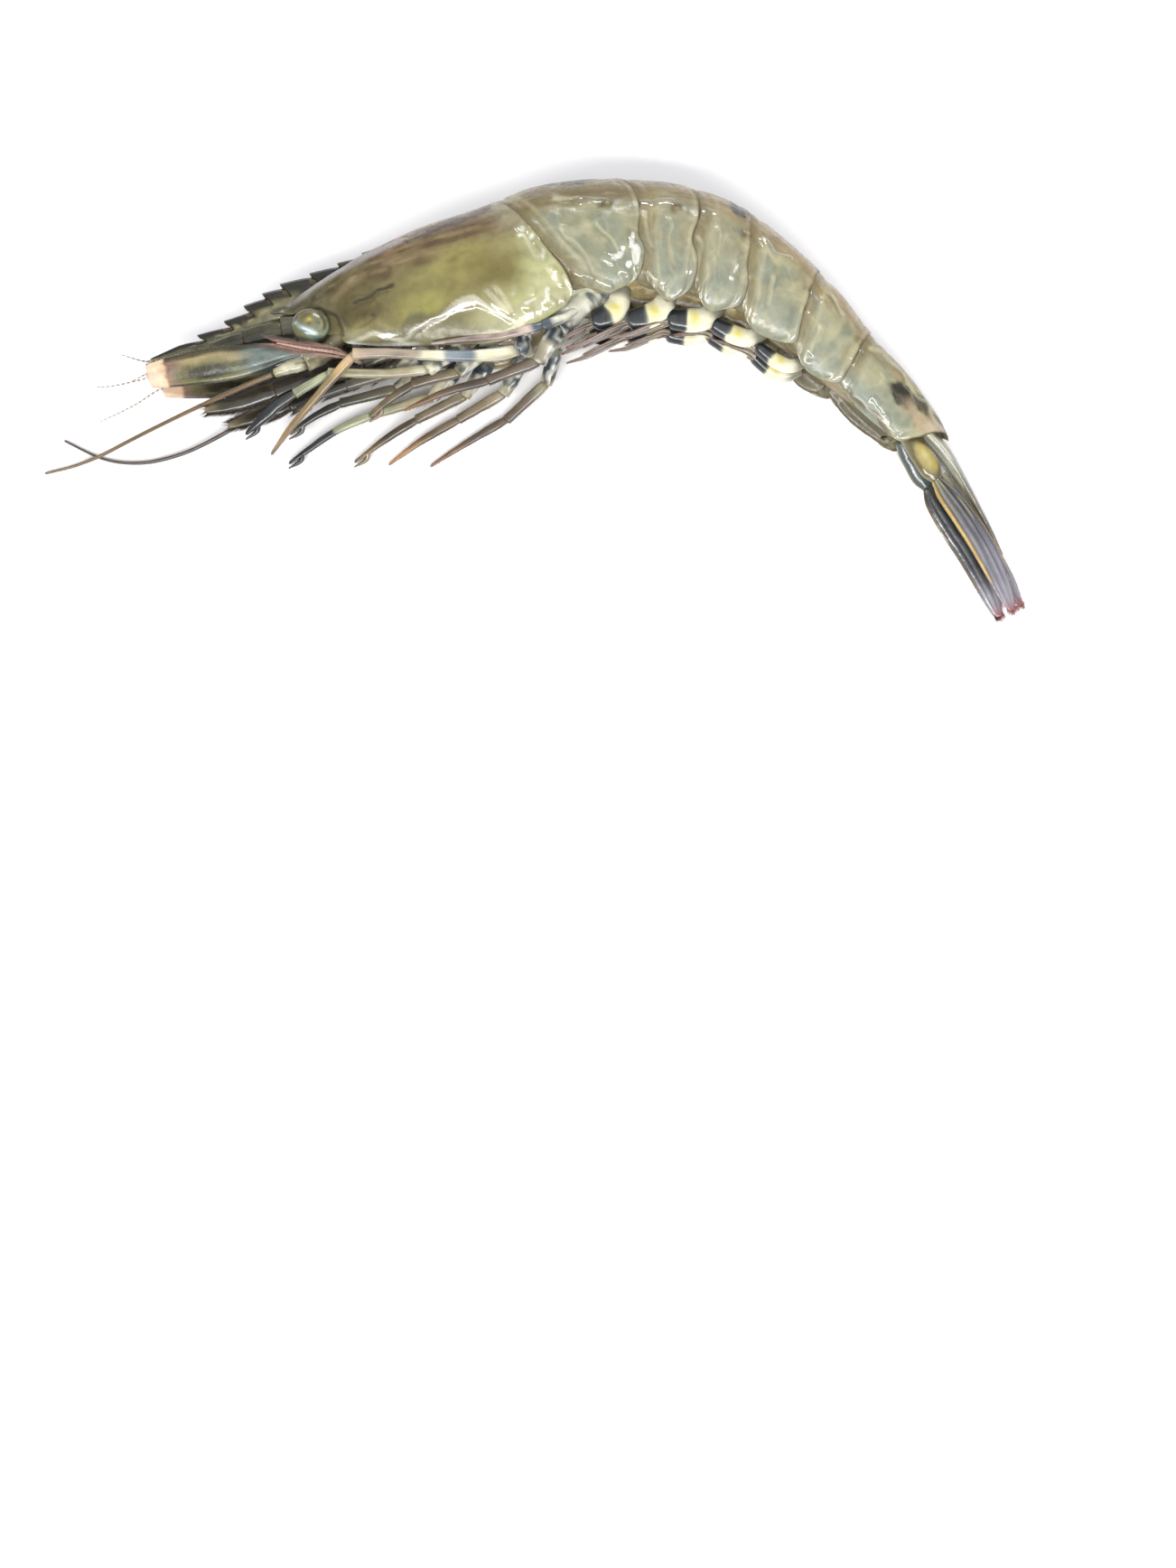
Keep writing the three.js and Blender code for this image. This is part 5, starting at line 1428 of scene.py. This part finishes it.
RIGHT_FEELER = [
    (-12.9, -12.0, -6.8, 0.8), (-17, -13.2, -7.6, 0.75), (-24.0, -15.3, -8.6, 0.7),
    (-30.5, -16.8, -9.6, 0.65), (-37.2, -17.8, -10.5, 0.6), (-43.8, -17.8, -11.1, 0.6),
    (-48.2, -17.1, -11.2, 0.55), (-52.5, -15.6, -11.3, 0.5), (-56, -13.5, -11.4, 0.45),
    (-61.6, -8.7, -11.4, 0.36),
]


def paint_scale(path, seed):
    """Teal at the root, then tan over a green patch, a pinkish-brown part and a peach tip."""
    t, across = path.t[:, None], path.cos + 0 * path.t[:, None]
    mm = limb_mm(path, 3)
    veins = grain(mm * [0.12, 1, 1], 0.7, seed)
    soft = grain(mm * [0.6, 1, 1], 1.4, seed + 2)
    upper = ease(-0.05, 0.3, across + 0.15 * soft) * ease(0.33, 0.42, t) * ease(0.84, 0.72, t)
    patch = blot_on(t, across, (0.6, -0.32), (0.17, 0.44))
    middle = stripe(across + 0.2 * soft, -0.05, 0.35) * ease(0.36, 0.5, t) * ease(0.8, 0.7, t)
    whole = ease(0.885, 0.865, t)
    tint = gradient(t + 0.025 * veins + 0.015 * soft, [
        (0, "#7b827c"), (0.12, "#72807c"), (0.34, "#66736f"), (0.42, "#5f604e"), (0.66, "#5a5239"),
        (0.74, "#86705e"), (0.84, "#a08473"), (0.87, "#b08a72"), (0.885, "#e6c3a3"),
        (1, "#efd0b6"),
    ])
    tint = layered(
        tint,
        ("#a9986f", upper * 0.95),
        ("#6f7a42", stripe(patch, 0.3, 0.18) * 0.7),
        ("#35331f", ease(0.4, 0.7, patch + 0.15 * soft) * 0.9),
        ("#1d2322", ease(0.5, 0.9, across + 0.2 * soft) * ease(0.5, 0.4, t) * 0.8),
        ("#3d3a26", middle * 0.6),
        ("#27261b", ease(0.72, 0.9, -across) * whole * 0.85),
        ("#34331f", ease(0.62, 0.85, across + 0.1 * soft) * whole * 0.85),
        ("#23241c", ease(0.15, 0.75, veins) * (0.25 + 0.4 * whole)),
        ("#c3b48e", ease(0.2, 0.8, -veins) * 0.3),
        ("#7d4a40", ease(0.3, 0.9, soft) * ease(0.66, 0.76, t) * whole * 0.6),
        ("#f6dcc8", ease(0.3, 0.9, grain(mm, 1.1, seed + 1)) * ease(0.89, 0.92, t) * 0.5),
    )
    return tint * (1 - 0.22 * whole)[..., None]


BASE_STOPS = [
    (0, "#6b6344"), (0.25, "#7d7457"), (0.42, "#8f8668"), (0.55, "#b9b493"), (0.6, "#8a8058"),
    (0.66, "#c9c6a9"), (0.85, "#cdcab0"), (1, "#8f8a5f"),
]
for hand, sign in HANDS:
    lag = 0 if sign > 0 else RIGHT_SCALE_LAG
    stations = [(a + lag, *rest) for a, *rest in handed(SCALE, sign)]
    path = limb(stations, sides=44, roll=SCALE_ROLL * sign, step=0.3, square=0.85)
    ribs = 0.06 * np.cos(path.cos * 19 + 0.6 * np.sin(path.t * 9)[:, None]) * np.abs(path.sin)
    rib = 0.3 * stripe(path.cos, -0.8, 0.14)[None, :] * ease(1, 0.85, path.t)[:, None]
    plate = limb_skin(path, paint_scale(path, 200 + sign), ribs + rib, 0.03)
    assemble(f"scale_plate_{hand}", [plate], fan_horn, [f"antennal_scale_{hand}"])
    hairs = [fringe(path, 1.6, 0.11, ("#332e1f", "#6b6048"), 210 + sign, lean=1.4, radius=0.045,
                    start=0.3, edges=(1,)),
             tip_brush(path, 0.9, 120, ("#d9a88a", "#efd0b6"), 214 + sign, 0.2)]
    assemble(f"scale_fringe_{hand}", hairs, fan_horn)
    tubes = jointed(handed(FEELER_BASE, sign), (2,), sides=20)
    assemble(f"feeler_root_{hand}", horn_limb(tubes, BASE_STOPS, 220 + sign), limb_horn,
             [f"antenna_base_{hand}"])
    line = LEFT_FEELER if sign > 0 else RIGHT_FEELER
    # Painted shade: the right feeler, on the far side and lower, is painted darker than the left.
    colours = ("#4a3d2a", "#7b6546") if sign > 0 else ("#2b2723", "#564b43")
    line = [(a, o, s, r * FEELER_SLIM, r * FEELER_SLIM) for a, o, s, r in line]
    long_whip = whip(line, *colours, 230 + sign, ring=0.5, sides=12, contrast=0.55)
    assemble(f"long_feeler_{hand}", [long_whip], limb_horn, [f"antenna_{hand}"])

# ---- Jaw feet ------------------------------------------------------------------------
# The outermost mouth limbs are long, hairy, jointed blades carried under the head, painted near
# black: partly their own dark horn, partly painted shade.
# Each has a soft pink side whip that is feathered like a plume.

LEFT_JAW_FOOT = [
    (14.5, -7.4, 2.8, 1.8), (12, -11.8, 3.2, 1.7), (5, -13.2, 2.6, 1.3), (-5.6, -12.7, 2.2, 1.4),
    (-14, -13.6, 2.0, 1.6), (-22, -14.2, 1.6, 1.2), (-28.8, -13.9, 1.2, 0.5),
]
RIGHT_JAW_FOOT = [
    (14.5, -7.4, -2.8, 1.8), (12, -11.8, -3.2, 1.7), (5, -14.0, -3.0, 1.3),
    (-5, -14.6, -2.4, 1.4), (-12.5, -15.8, -2.2, 1.5), (-20, -16.6, -2.6, 1.1),
    (-25.8, -16.8, -3.2, 0.5),
]
JAW_WHIP = [
    (5, -13.2, 2.8, 0.5, 0.5), (3.5, -12.4, 4.8, 0.45, 0.45), (1.5, -11.7, 7.6, 0.45, 0.45),
    (-0.8, -11.0, 9.2, 0.4, 0.4), (-5, -9.4, 9.6, 0.35, 0.35), (-10, -7.0, 9.4, 0.15, 0.15),
]
JAW_WIDE, JAW_THICK = 1.4, 0.8
# Near black, partly the horn's own colour and partly painted shade under the head.
JAW_STOPS = [
    (0, "#7e7762"), (0.2, "#57503f"), (0.3, "#38322a"), (0.5, "#2c2622"), (0.72, "#2b2517"),
    (0.9, "#3d3526"), (0.98, "#6b6048"), (1, "#8d8062"),
]
for hand, sign in HANDS:
    line = LEFT_JAW_FOOT if sign > 0 else RIGHT_JAW_FOOT
    line = [(a, o, s, r * JAW_WIDE, r * JAW_THICK) for a, o, s, r in line]
    tubes = jointed(line, (1, 2, 3, 4), sides=18)
    skins = horn_limb(tubes, JAW_STOPS, 240 + sign, rough=0.25)
    for k, path in enumerate(tubes[1:]):
        for row in range(2):
            skins.append(fringe(path, 2.0, 0.1, ("#241f1a", "#4b3f33"), 250 + 9 * row + k,
                                lean=2.6, radius=0.06))
    path = limb(handed(JAW_WHIP, sign), sides=12, step=0.2)
    plume = banded(path, [(0, "#b9a68c"), (0.4, "#a5877a"), (1, "#c4a294")])
    skins.append(limb_skin(path, plume, 0.04 * np.cos(path.run * 7)[:, None]))
    for row, (lean, length) in enumerate(((2.0, 3.0), (3.2, 4.4), (5.0, 5.6))):
        skins.append(fringe(path, length, 0.13, ("#7d5248", "#d3b3a0"), 260 + 3 * row + sign,
                            lean, radius=0.085, start=0.2))
    assemble(f"jaw_foot_{hand}", skins, limb_horn, [f"maxilliped_{hand}"])

# ---- Walking legs --------------------------------------------------------------------
# Five pairs of thin jointed legs of hard horn hang from the breast. The first three pairs
# end in small pincers. They are banded in cream, slate blue and tan, with a few stiff
# hairs, and their thick first joints lie side by side under the fore shell.

LEFT_LEGS = [
    [(20, -9.0, 3.2, 2.2), (18.5, -14.6, 4.6, 2.0), (12, -17.0, 4.3, 1.4),
     (0.5, -16.8, 3.2, 1.25), (-5.5, -17.4, 2.8, 1.0), (-10.5, -18.8, 2.0, 0.8)],
    [(26, -9.6, 3.4, 2.3), (25, -15.8, 5.4, 2.1), (18, -19.0, 7.4, 1.25), (9, -17.4, 7.0, 1.15),
     (-2.2, -14.0, 5.5, 1.15), (-10, -16.2, 4.4, 1.15), (-13.5, -17.2, 3.8, 1.35),
     (-17.2, -18.8, 3.0, 1.5), (-21.8, -20.9, 2.0, 0.4)],
    [(32, -10.2, 3.6, 2.3), (31, -16.6, 5.0, 2.1), (24, -19.8, 3.6, 1.4),
     (13.8, -19.6, 2.8, 1.35), (8.0, -21.6, 2.0, 1.0), (3.5, -23.6, 1.4, 0.7)],
    [(38, -10.4, 4.0, 2.3), (38.4, -16.6, 6.0, 2.1), (37, -19.4, 7.8, 1.6), (30, -18.9, 9.0, 1.3),
     (20, -16.9, 9.6, 1.1), (8.5, -13.9, 9.6, 1.05), (3.9, -12.9, 9.4, 1.2),
     (-3.5, -17.4, 7.2, 0.85), (-12.5, -22.4, 3.4, 0.72), (-18, -25.8, 0.6, 0.35)],
    [(54.5, -9.6, 4.4, 2.7), (45, -16.0, 6.8, 2.4), (40, -21.6, 5.0, 1.5),
     (29.4, -22.7, 4.4, 1.25), (20, -22.9, 3.4, 0.95), (11, -24.2, 2.2, 0.35)],
]
RIGHT_LEGS = [
    [(20, -9.0, -3.2, 2.2), (18.5, -14.8, -4.6, 2.0), (10, -17.6, -5.6, 1.4),
     (-2.6, -17.2, -6.2, 1.25), (-8.5, -18.4, -6.8, 1.0), (-14.5, -20.4, -7.6, 0.5)],
    [(26, -9.6, -3.4, 2.3), (25, -15.9, -5.2, 2.1), (17, -20.6, -7.6, 1.4),
     (3.4, -20.4, -8.8, 1.25), (-4.5, -21.6, -9.3, 1.0), (-12, -24.0, -9.9, 0.8),
     (-16.5, -25.6, -10.3, 0.4)],
    [(32, -10.2, -3.6, 2.3), (31, -16.6, -4.8, 2.1), (24, -22.4, -5.0, 1.4),
     (12.4, -24.1, -7.5, 1.25), (5, -26.0, -9.2, 1.0), (-3, -28.8, -10.4, 0.4)],
    [(38, -10.4, -4.0, 2.3), (38.4, -16.8, -6.0, 2.1), (32, -22.8, -8.0, 1.5),
     (21.4, -25.5, -9.7, 1.25), (12, -28.0, -10.5, 0.95), (4, -31.0, -10.9, 0.35)],
    [(44, -9.6, -4.0, 2.2), (45, -16.4, -6.0, 2.1), (41, -22.6, -8.4, 1.5),
     (31.4, -27.6, -10.2, 1.25), (22, -30.4, -10.7, 0.9), (13, -33.4, -11.1, 0.35)],
]
LEG_JOINTS = (1, 2, 3)               # the stations at which a leg is jointed
LEFT_JOINTS = {1: (1, 2, 4, 5), 3: (1, 2, 6)}      # and in the second and fourth left legs
LONG_LEG_STOPS = [                   # the fourth left leg, which lies across the cheek
    (0, "#cfd0bc"), (0.08, "#dcdccb"), (0.1, "#4a5663"), (0.15, "#3d4956"), (0.17, "#e9e3c3"),
    (0.27, "#e9e3c3"), (0.29, "#6f7b86"), (0.35, "#8b949b"), (0.37, "#ece6c8"), (0.42, "#e9e3c3"),
    (0.44, "#a99d8a"), (0.6, "#a99884"), (0.63, "#cfb48a"), (0.68, "#bfa070"), (0.72, "#93805a"),
    (0.86, "#a5875c"), (0.95, "#a88d68"), (1, "#8d7d6a"),
]
# The darker grey and grey-brown outer joints are partly the legs' own colour and partly painted
# shade, where they lie under the body.
LEG_STOPS = [
    [(0, "#c9cab6"), (0.16, "#dcdcc8"), (0.2, "#46525e"), (0.25, "#39444f"), (0.28, "#c9c5aa"),
     (0.36, "#8a826a"), (0.6, "#5d594b"), (0.66, "#4a4a42"), (0.85, "#3c3f3c"), (1, "#4c4a40")],
    [(0, "#c9cab6"), (0.12, "#dcdcc8"), (0.15, "#46525e"), (0.2, "#39444f"), (0.23, "#e2dfc4"),
     (0.34, "#b4a98a"), (0.52, "#b9b592"), (0.72, "#b3ba98"), (0.768, "#a4aa88"),
     (0.776, "#3a3d3a"), (0.86, "#33373a"), (1, "#24262a")],
    [(0, "#cfd0bc"), (0.14, "#dfdecb"), (0.18, "#46525e"), (0.25, "#39444f"), (0.28, "#d2ccb0"),
     (0.38, "#8f8469"), (0.66, "#6a5d4c"), (0.8, "#5b5140"), (0.94, "#8a7450"), (1, "#5f5c46")],
    [(0, "#cfd0bc"), (0.14, "#d7d6c3"), (0.18, "#46525e"), (0.26, "#3b4651"), (0.3, "#c9c4a9"),
     (0.42, "#94866c"), (0.7, "#7d6c54"), (0.9, "#a07a4e"), (1, "#b98450")],
    [(0, "#cfd0bc"), (0.16, "#d3d3c0"), (0.2, "#3f4a55"), (0.28, "#36414b"), (0.31, "#b9b49a"),
     (0.45, "#75695a"), (0.75, "#5d4f42"), (1, "#946a42")],
]
LEG_SLIM, LEG_END_SLIM, LONG_LEG_END_SLIM = [1, 0.95, 0.86], 0.78, 0.95
LEG_FLAT = 0.75
PINCER_PAIRS = 3
PINCER_LENGTH = 3.6
PINCER_SHADE = 0.97                  # its colour is the leg's at this share of the way
LEG_BRANCH = [                       # the slim side branch of the fifth left leg
    (50.6, -13.2, 6.6, 0.6, 0.6), (45.6, -15.2, 9.0, 1.0, 0.8), (42, -15.8, 9.5, 0.95, 0.7),
    (33, -15.9, 9.8, 0.8, 0.6), (26.5, -15.2, 9.9, 0.6, 0.45), (20, -14.6, 9.8, 0.25, 0.25),
]
BRANCH_STOPS = [
    (0, "#dfdecb"), (0.2, "#d3d3c0"), (0.24, "#46525e"), (0.36, "#4a5663"), (0.4, "#cdb9ac"),
    (0.75, "#a58f86"), (1, "#a9968c"),
]


def pincer(line):
    """The moving finger of a pincer, beside the tip of the leg."""
    (a0, o0, s0), (a1, o1, s1) = line[-2][:3], line[-1][:3]
    reach = math.dist((a0, o0, s0), (a1, o1, s1))
    da, do = (a1 - a0) / reach, (o1 - o0) / reach
    start = (a1 - da * PINCER_LENGTH, o1 - do * PINCER_LENGTH,
             s1 - (s1 - s0) / reach * PINCER_LENGTH)
    return [
        (*start, 0.5, 0.5),
        (start[0] + da * 1.2 - do * 0.9, start[1] + do * 1.2 + da * 0.9, s1, 0.5, 0.45),
        (a1 - do * 0.8 + da * 0.6, o1 + da * 0.8 + do * 0.6, s1, 0.16, 0.16),
    ]


for hand, sign in HANDS:
    for pair, line in enumerate(LEFT_LEGS if sign > 0 else RIGHT_LEGS):
        long_leg = sign > 0 and pair == 3
        joints = LEFT_JOINTS.get(pair, LEG_JOINTS) if sign > 0 else LEG_JOINTS
        slim = LEG_SLIM + [LONG_LEG_END_SLIM if long_leg else LEG_END_SLIM] * (len(line) - 3)
        line = [(a, o, s, r * k, r * k * LEG_FLAT) for (a, o, s, r), k in zip(line, slim)]
        tubes = jointed(line, joints, sides=18)
        stops = LONG_LEG_STOPS if long_leg else LEG_STOPS[pair]
        skins = horn_limb(tubes, stops, 300 + 10 * pair + sign, lumps=(0, 1))
        if pair < PINCER_PAIRS:
            finger = limb(pincer(line), sides=12, step=0.2)
            tint = gradient(PINCER_SHADE + 0 * finger.t[:, None] + 0 * finger.cos, stops)
            skins.append(limb_skin(finger, tint))
        if sign > 0 and pair == 4:
            skins += horn_limb(jointed(LEG_BRANCH, (2,), sides=14), BRANCH_STOPS, 390)
        for k, path in enumerate(tubes[2:]):
            skins.append(fringe(path, 0.9, 0.55, ("#7a6a4e", "#a8977a"), 320 + 10 * pair + k,
                                lean=1.1, radius=0.03))
        assemble(f"walking_leg_{pair + 1}_{hand}", skins, limb_horn,
                 [f"leg_{pair + 1}_{hand}"])

# ---- Swimming legs -------------------------------------------------------------------
# Each tail ring but the last bears a pair of stout paddles: a flat, two-coloured stalk of
# horn, cream with a yellow spot and a blue-black band, and two soft dark blades with red
# hairs. In the resting animal they fold forward and overlap like shingles.

SWIMMERS = [                         # root, knee, depth, half height, length of the blades
    (60.0, 52.4, 15.6, 2.2, 7), (71.8, 60.8, 16.6, 2.25, 15), (86.0, 72.8, 16.2, 2.2, 17),
    (98.8, 87.6, 14.0, 1.75, 16), (109.6, 100.4, 12.0, 1.4, 14),
]
STALK = SimpleNamespace(side=4.9, thick=1.35)
BLADE = SimpleNamespace(half=1.7, thick=0.3, dip=0.7, fall=2.3, far=11.0)
BLADES = [(1.0, 0.5, 1.0), (0.75, -2.3, 0.5)]   # share of the length, sideways shift, width


def swimmer_stalk(root, knee, depth, half, side):
    return [
        (root + 0.8, -depth * 0.6, side * 0.9, half, STALK.thick),
        (root - 0.6, -depth * 0.84, side, half * 1.05, STALK.thick),
        (root * 0.65 + knee * 0.35, -depth * 0.95, side * 1.05, half * 1.1, STALK.thick),
        (root * 0.3 + knee * 0.7, -depth * 0.99, side * 1.04, half, STALK.thick),
        (knee + 0.8, -depth, side * 1.02, half * 0.85, STALK.thick),
        (knee - 0.4, -depth * 1.01, side, half * 0.5, STALK.thick * 0.7),
    ]


def swimmer_blade(knee, depth, blade, side, share, shift, width, narrow, sign):
    away = side + shift * narrow * sign
    half, reach = BLADE.half * width * narrow, blade * share

    def fall(far):
        return -depth - BLADE.dip - BLADE.fall * min(far / BLADE.far, 1.1)

    return [
        (knee + 1.4, -depth * 1.01, side + (away - side) * 0.35, 0.5, 0.7),
        (knee - 1.2, -depth - BLADE.dip, away, 0.7, 0.5),
        (knee - reach * 0.35, fall(reach * 0.35), away, half, BLADE.thick),
        (knee - reach * 0.7, fall(reach * 0.7), away, half * 0.8, BLADE.thick * 0.8),
        (knee - reach * 0.98, fall(reach), away, half * 0.15, BLADE.thick * 0.5),
    ]


def paint_stalk(path, seed):
    """Cream near the root with a yellow spot, then a blue-black band at the knee."""
    t, mm = path.t[:, None], limb_mm(path, 2, 2)
    tint = banded(path, [
        (0, "#6b6858"), (0.16, "#8f8c78"), (0.26, "#e6e2c8"), (0.36, "#f4f1dc"), (0.58, "#efe9c2"),
        (0.63, "#4a5252"), (0.68, "#23282c"), (0.94, "#1f2428"), (0.97, "#55594f"), (1, "#6b6a58"),
    ], 0.035 * grain(mm, 1.3, seed))
    tint = layered(
        tint,
        ("#d9cc5a", blot_on(t, path.cos + 0 * t, (0.46, 0.1), (0.1, 0.6)) * 0.9),
        ("#8a8f86", ease(0.45, 0.8, grain(mm, 1.3, seed + 1)) * ease(0.3, 0.2, t) * 0.6),
    )
    return tint * (1 + 0.06 * grain(mm, 0.8, seed + 2))[..., None]


def paint_paddle(path, seed):
    """Near black, with pale veins at the root and a red-brown end."""
    t, mm = path.t[:, None], limb_mm(path, 3)
    veins = np.cos(path.cos * 7 + 0.5)
    tint = banded(path, [(0, "#8d8470"), (0.15, "#43342a"), (0.5, "#4d3a33"), (0.8, "#553430"),
                         (1, "#63302c")])
    tint = layered(
        tint,
        ("#d6cab4", ease(0.5, 0.9, veins) * (0.8 - 0.5 * t)),
        ("#2a211e", ease(0.6, 0.95, -veins) * 0.7 + 0 * t),
    )
    return tint * (1 + 0.2 * grain(mm * [0.3, 1, 1], 1.0, seed))[..., None]


for pair, (root, knee, depth, half, blade) in enumerate(SWIMMERS):
    narrow = float(measure("half", root) / measure("half", SWIMMERS[0][0]))
    for hand, sign in HANDS:
        side = STALK.side * sign * narrow
        path = limb(swimmer_stalk(root, knee, depth, half, side), sides=24, step=0.25, square=0.9)
        path.width *= rounded(path.length - path.run, 1.6, 0.1)
        skins = [limb_skin(path, paint_stalk(path, 400 + 10 * pair + sign))]
        for k, (share, shift, width) in enumerate(BLADES):
            stations = swimmer_blade(knee, depth, blade, side, share, shift, width, narrow, sign)
            paddle = limb(stations, sides=24, roll=90 * sign, step=0.3)
            veins = 0.05 * np.cos(paddle.cos * 9)[None, :]
            skins.append(limb_skin(paddle, paint_paddle(paddle, 420 + 10 * pair + k), veins))
            skins.append(fringe(paddle, 1.1, 0.24, ("#6d332c", "#b08a78"), 440 + 10 * pair + k,
                                lean=2.2, radius=0.035, start=0.2))
        assemble(f"swimming_leg_{pair + 1}_{hand}", skins, limb_horn,
                 [f"swimmer_{pair + 1}_{hand}"])

# ---- Table, light and camera ---------------------------------------------------------
# The prawn lies on a plain white counter under broad, soft lamps. The camera looks
# straight down on the whole tray, so the prawn is in the upper part of the picture.

CAMERA_PLACE = (EYE_SOCKET[0] + 53.8, EYE_SOCKET[1] - 96.8, 312.0)
VIEW_DEPTH = 300.0                   # from the camera to the middle of the prawn
VIEW_HALF_HEIGHT = 160.6             # half of the height that the picture covers there
SENSOR = 36.0
COUNTER_HALF = 3.0
COUNTER_TOP = -0.05 * MM


def pale_counter():
    material = bpy.data.materials.new("white_counter")
    material.use_nodes = True
    nodes, links = material.node_tree.nodes, material.node_tree.links
    surface = nodes["Principled BSDF"]
    noise = nodes.new("ShaderNodeTexNoise")
    noise.inputs["Scale"].default_value = 35
    blend = nodes.new("ShaderNodeMapRange")
    blend.inputs["To Min"].default_value = 0.5
    blend.inputs["To Max"].default_value = 0.62
    links.new(noise.outputs["Fac"], blend.inputs["Value"])
    links.new(blend.outputs["Result"], surface.inputs["Roughness"])
    surface.inputs["Base Color"].default_value = (0.97, 0.965, 0.97, 1)
    surface.inputs["Specular IOR Level"].default_value = 0.2
    return material


def soft_lamp(name, place, aim, size, power, colour=(1, 1, 1)):
    lamp = bpy.data.lights.new(name, "AREA")
    lamp.shape = "RECTANGLE"
    lamp.size, lamp.size_y = size
    lamp.energy = power
    lamp.color = colour
    holder = bpy.data.objects.new(name, lamp)
    bpy.context.scene.collection.objects.link(holder)
    holder.location = place
    from_here = np.array(aim) - np.array(place)
    yaw = math.atan2(from_here[1], from_here[0]) - math.pi / 2
    pitch = math.atan2(math.hypot(from_here[0], from_here[1]), -from_here[2])
    holder.rotation_euler = (pitch, 0, yaw)


counter = bpy.data.meshes.new("counter")
counter.from_pydata([(x * COUNTER_HALF, y * COUNTER_HALF, COUNTER_TOP)
                     for x, y in ((-1, -1), (1, -1), (1, 1), (-1, 1))], [], [(0, 1, 2, 3)])
counter.materials.append(pale_counter())
counter = bpy.data.objects.new("counter", counter)
bpy.context.scene.collection.objects.link(counter)

soft_lamp("window", (-0.04, -0.32, 0.48), (0, 0, 0), (0.6, 0.12), 3.9, (1, 0.99, 0.97))
soft_lamp("rear_lamp", (0.10, 0.50, 0.34), (0.03, 0.01, 0), (0.22, 0.08), 1.2, (0.97, 0.98, 1))
soft_lamp("ceiling", (0.0, 0.0, 1.3), (0, 0, 0), (1.4, 1.4), 4.6)

world = bpy.data.worlds.new("room")
bpy.context.scene.world = world
world.use_nodes = True
world.node_tree.nodes["Background"].inputs["Color"].default_value = (0.94, 0.95, 1.0, 1)
world.node_tree.nodes["Background"].inputs["Strength"].default_value = 0.46
bpy.context.scene.view_settings.view_transform = "Standard"

camera = bpy.data.cameras.new("camera")
camera.sensor_width = SENSOR
camera.lens = SENSOR / 2 * VIEW_DEPTH / VIEW_HALF_HEIGHT
camera.clip_start = 0.01
camera = bpy.data.objects.new("camera", camera)
camera.location = [v * MM for v in CAMERA_PLACE]
bpy.context.scene.collection.objects.link(camera)
bpy.context.scene.camera = camera
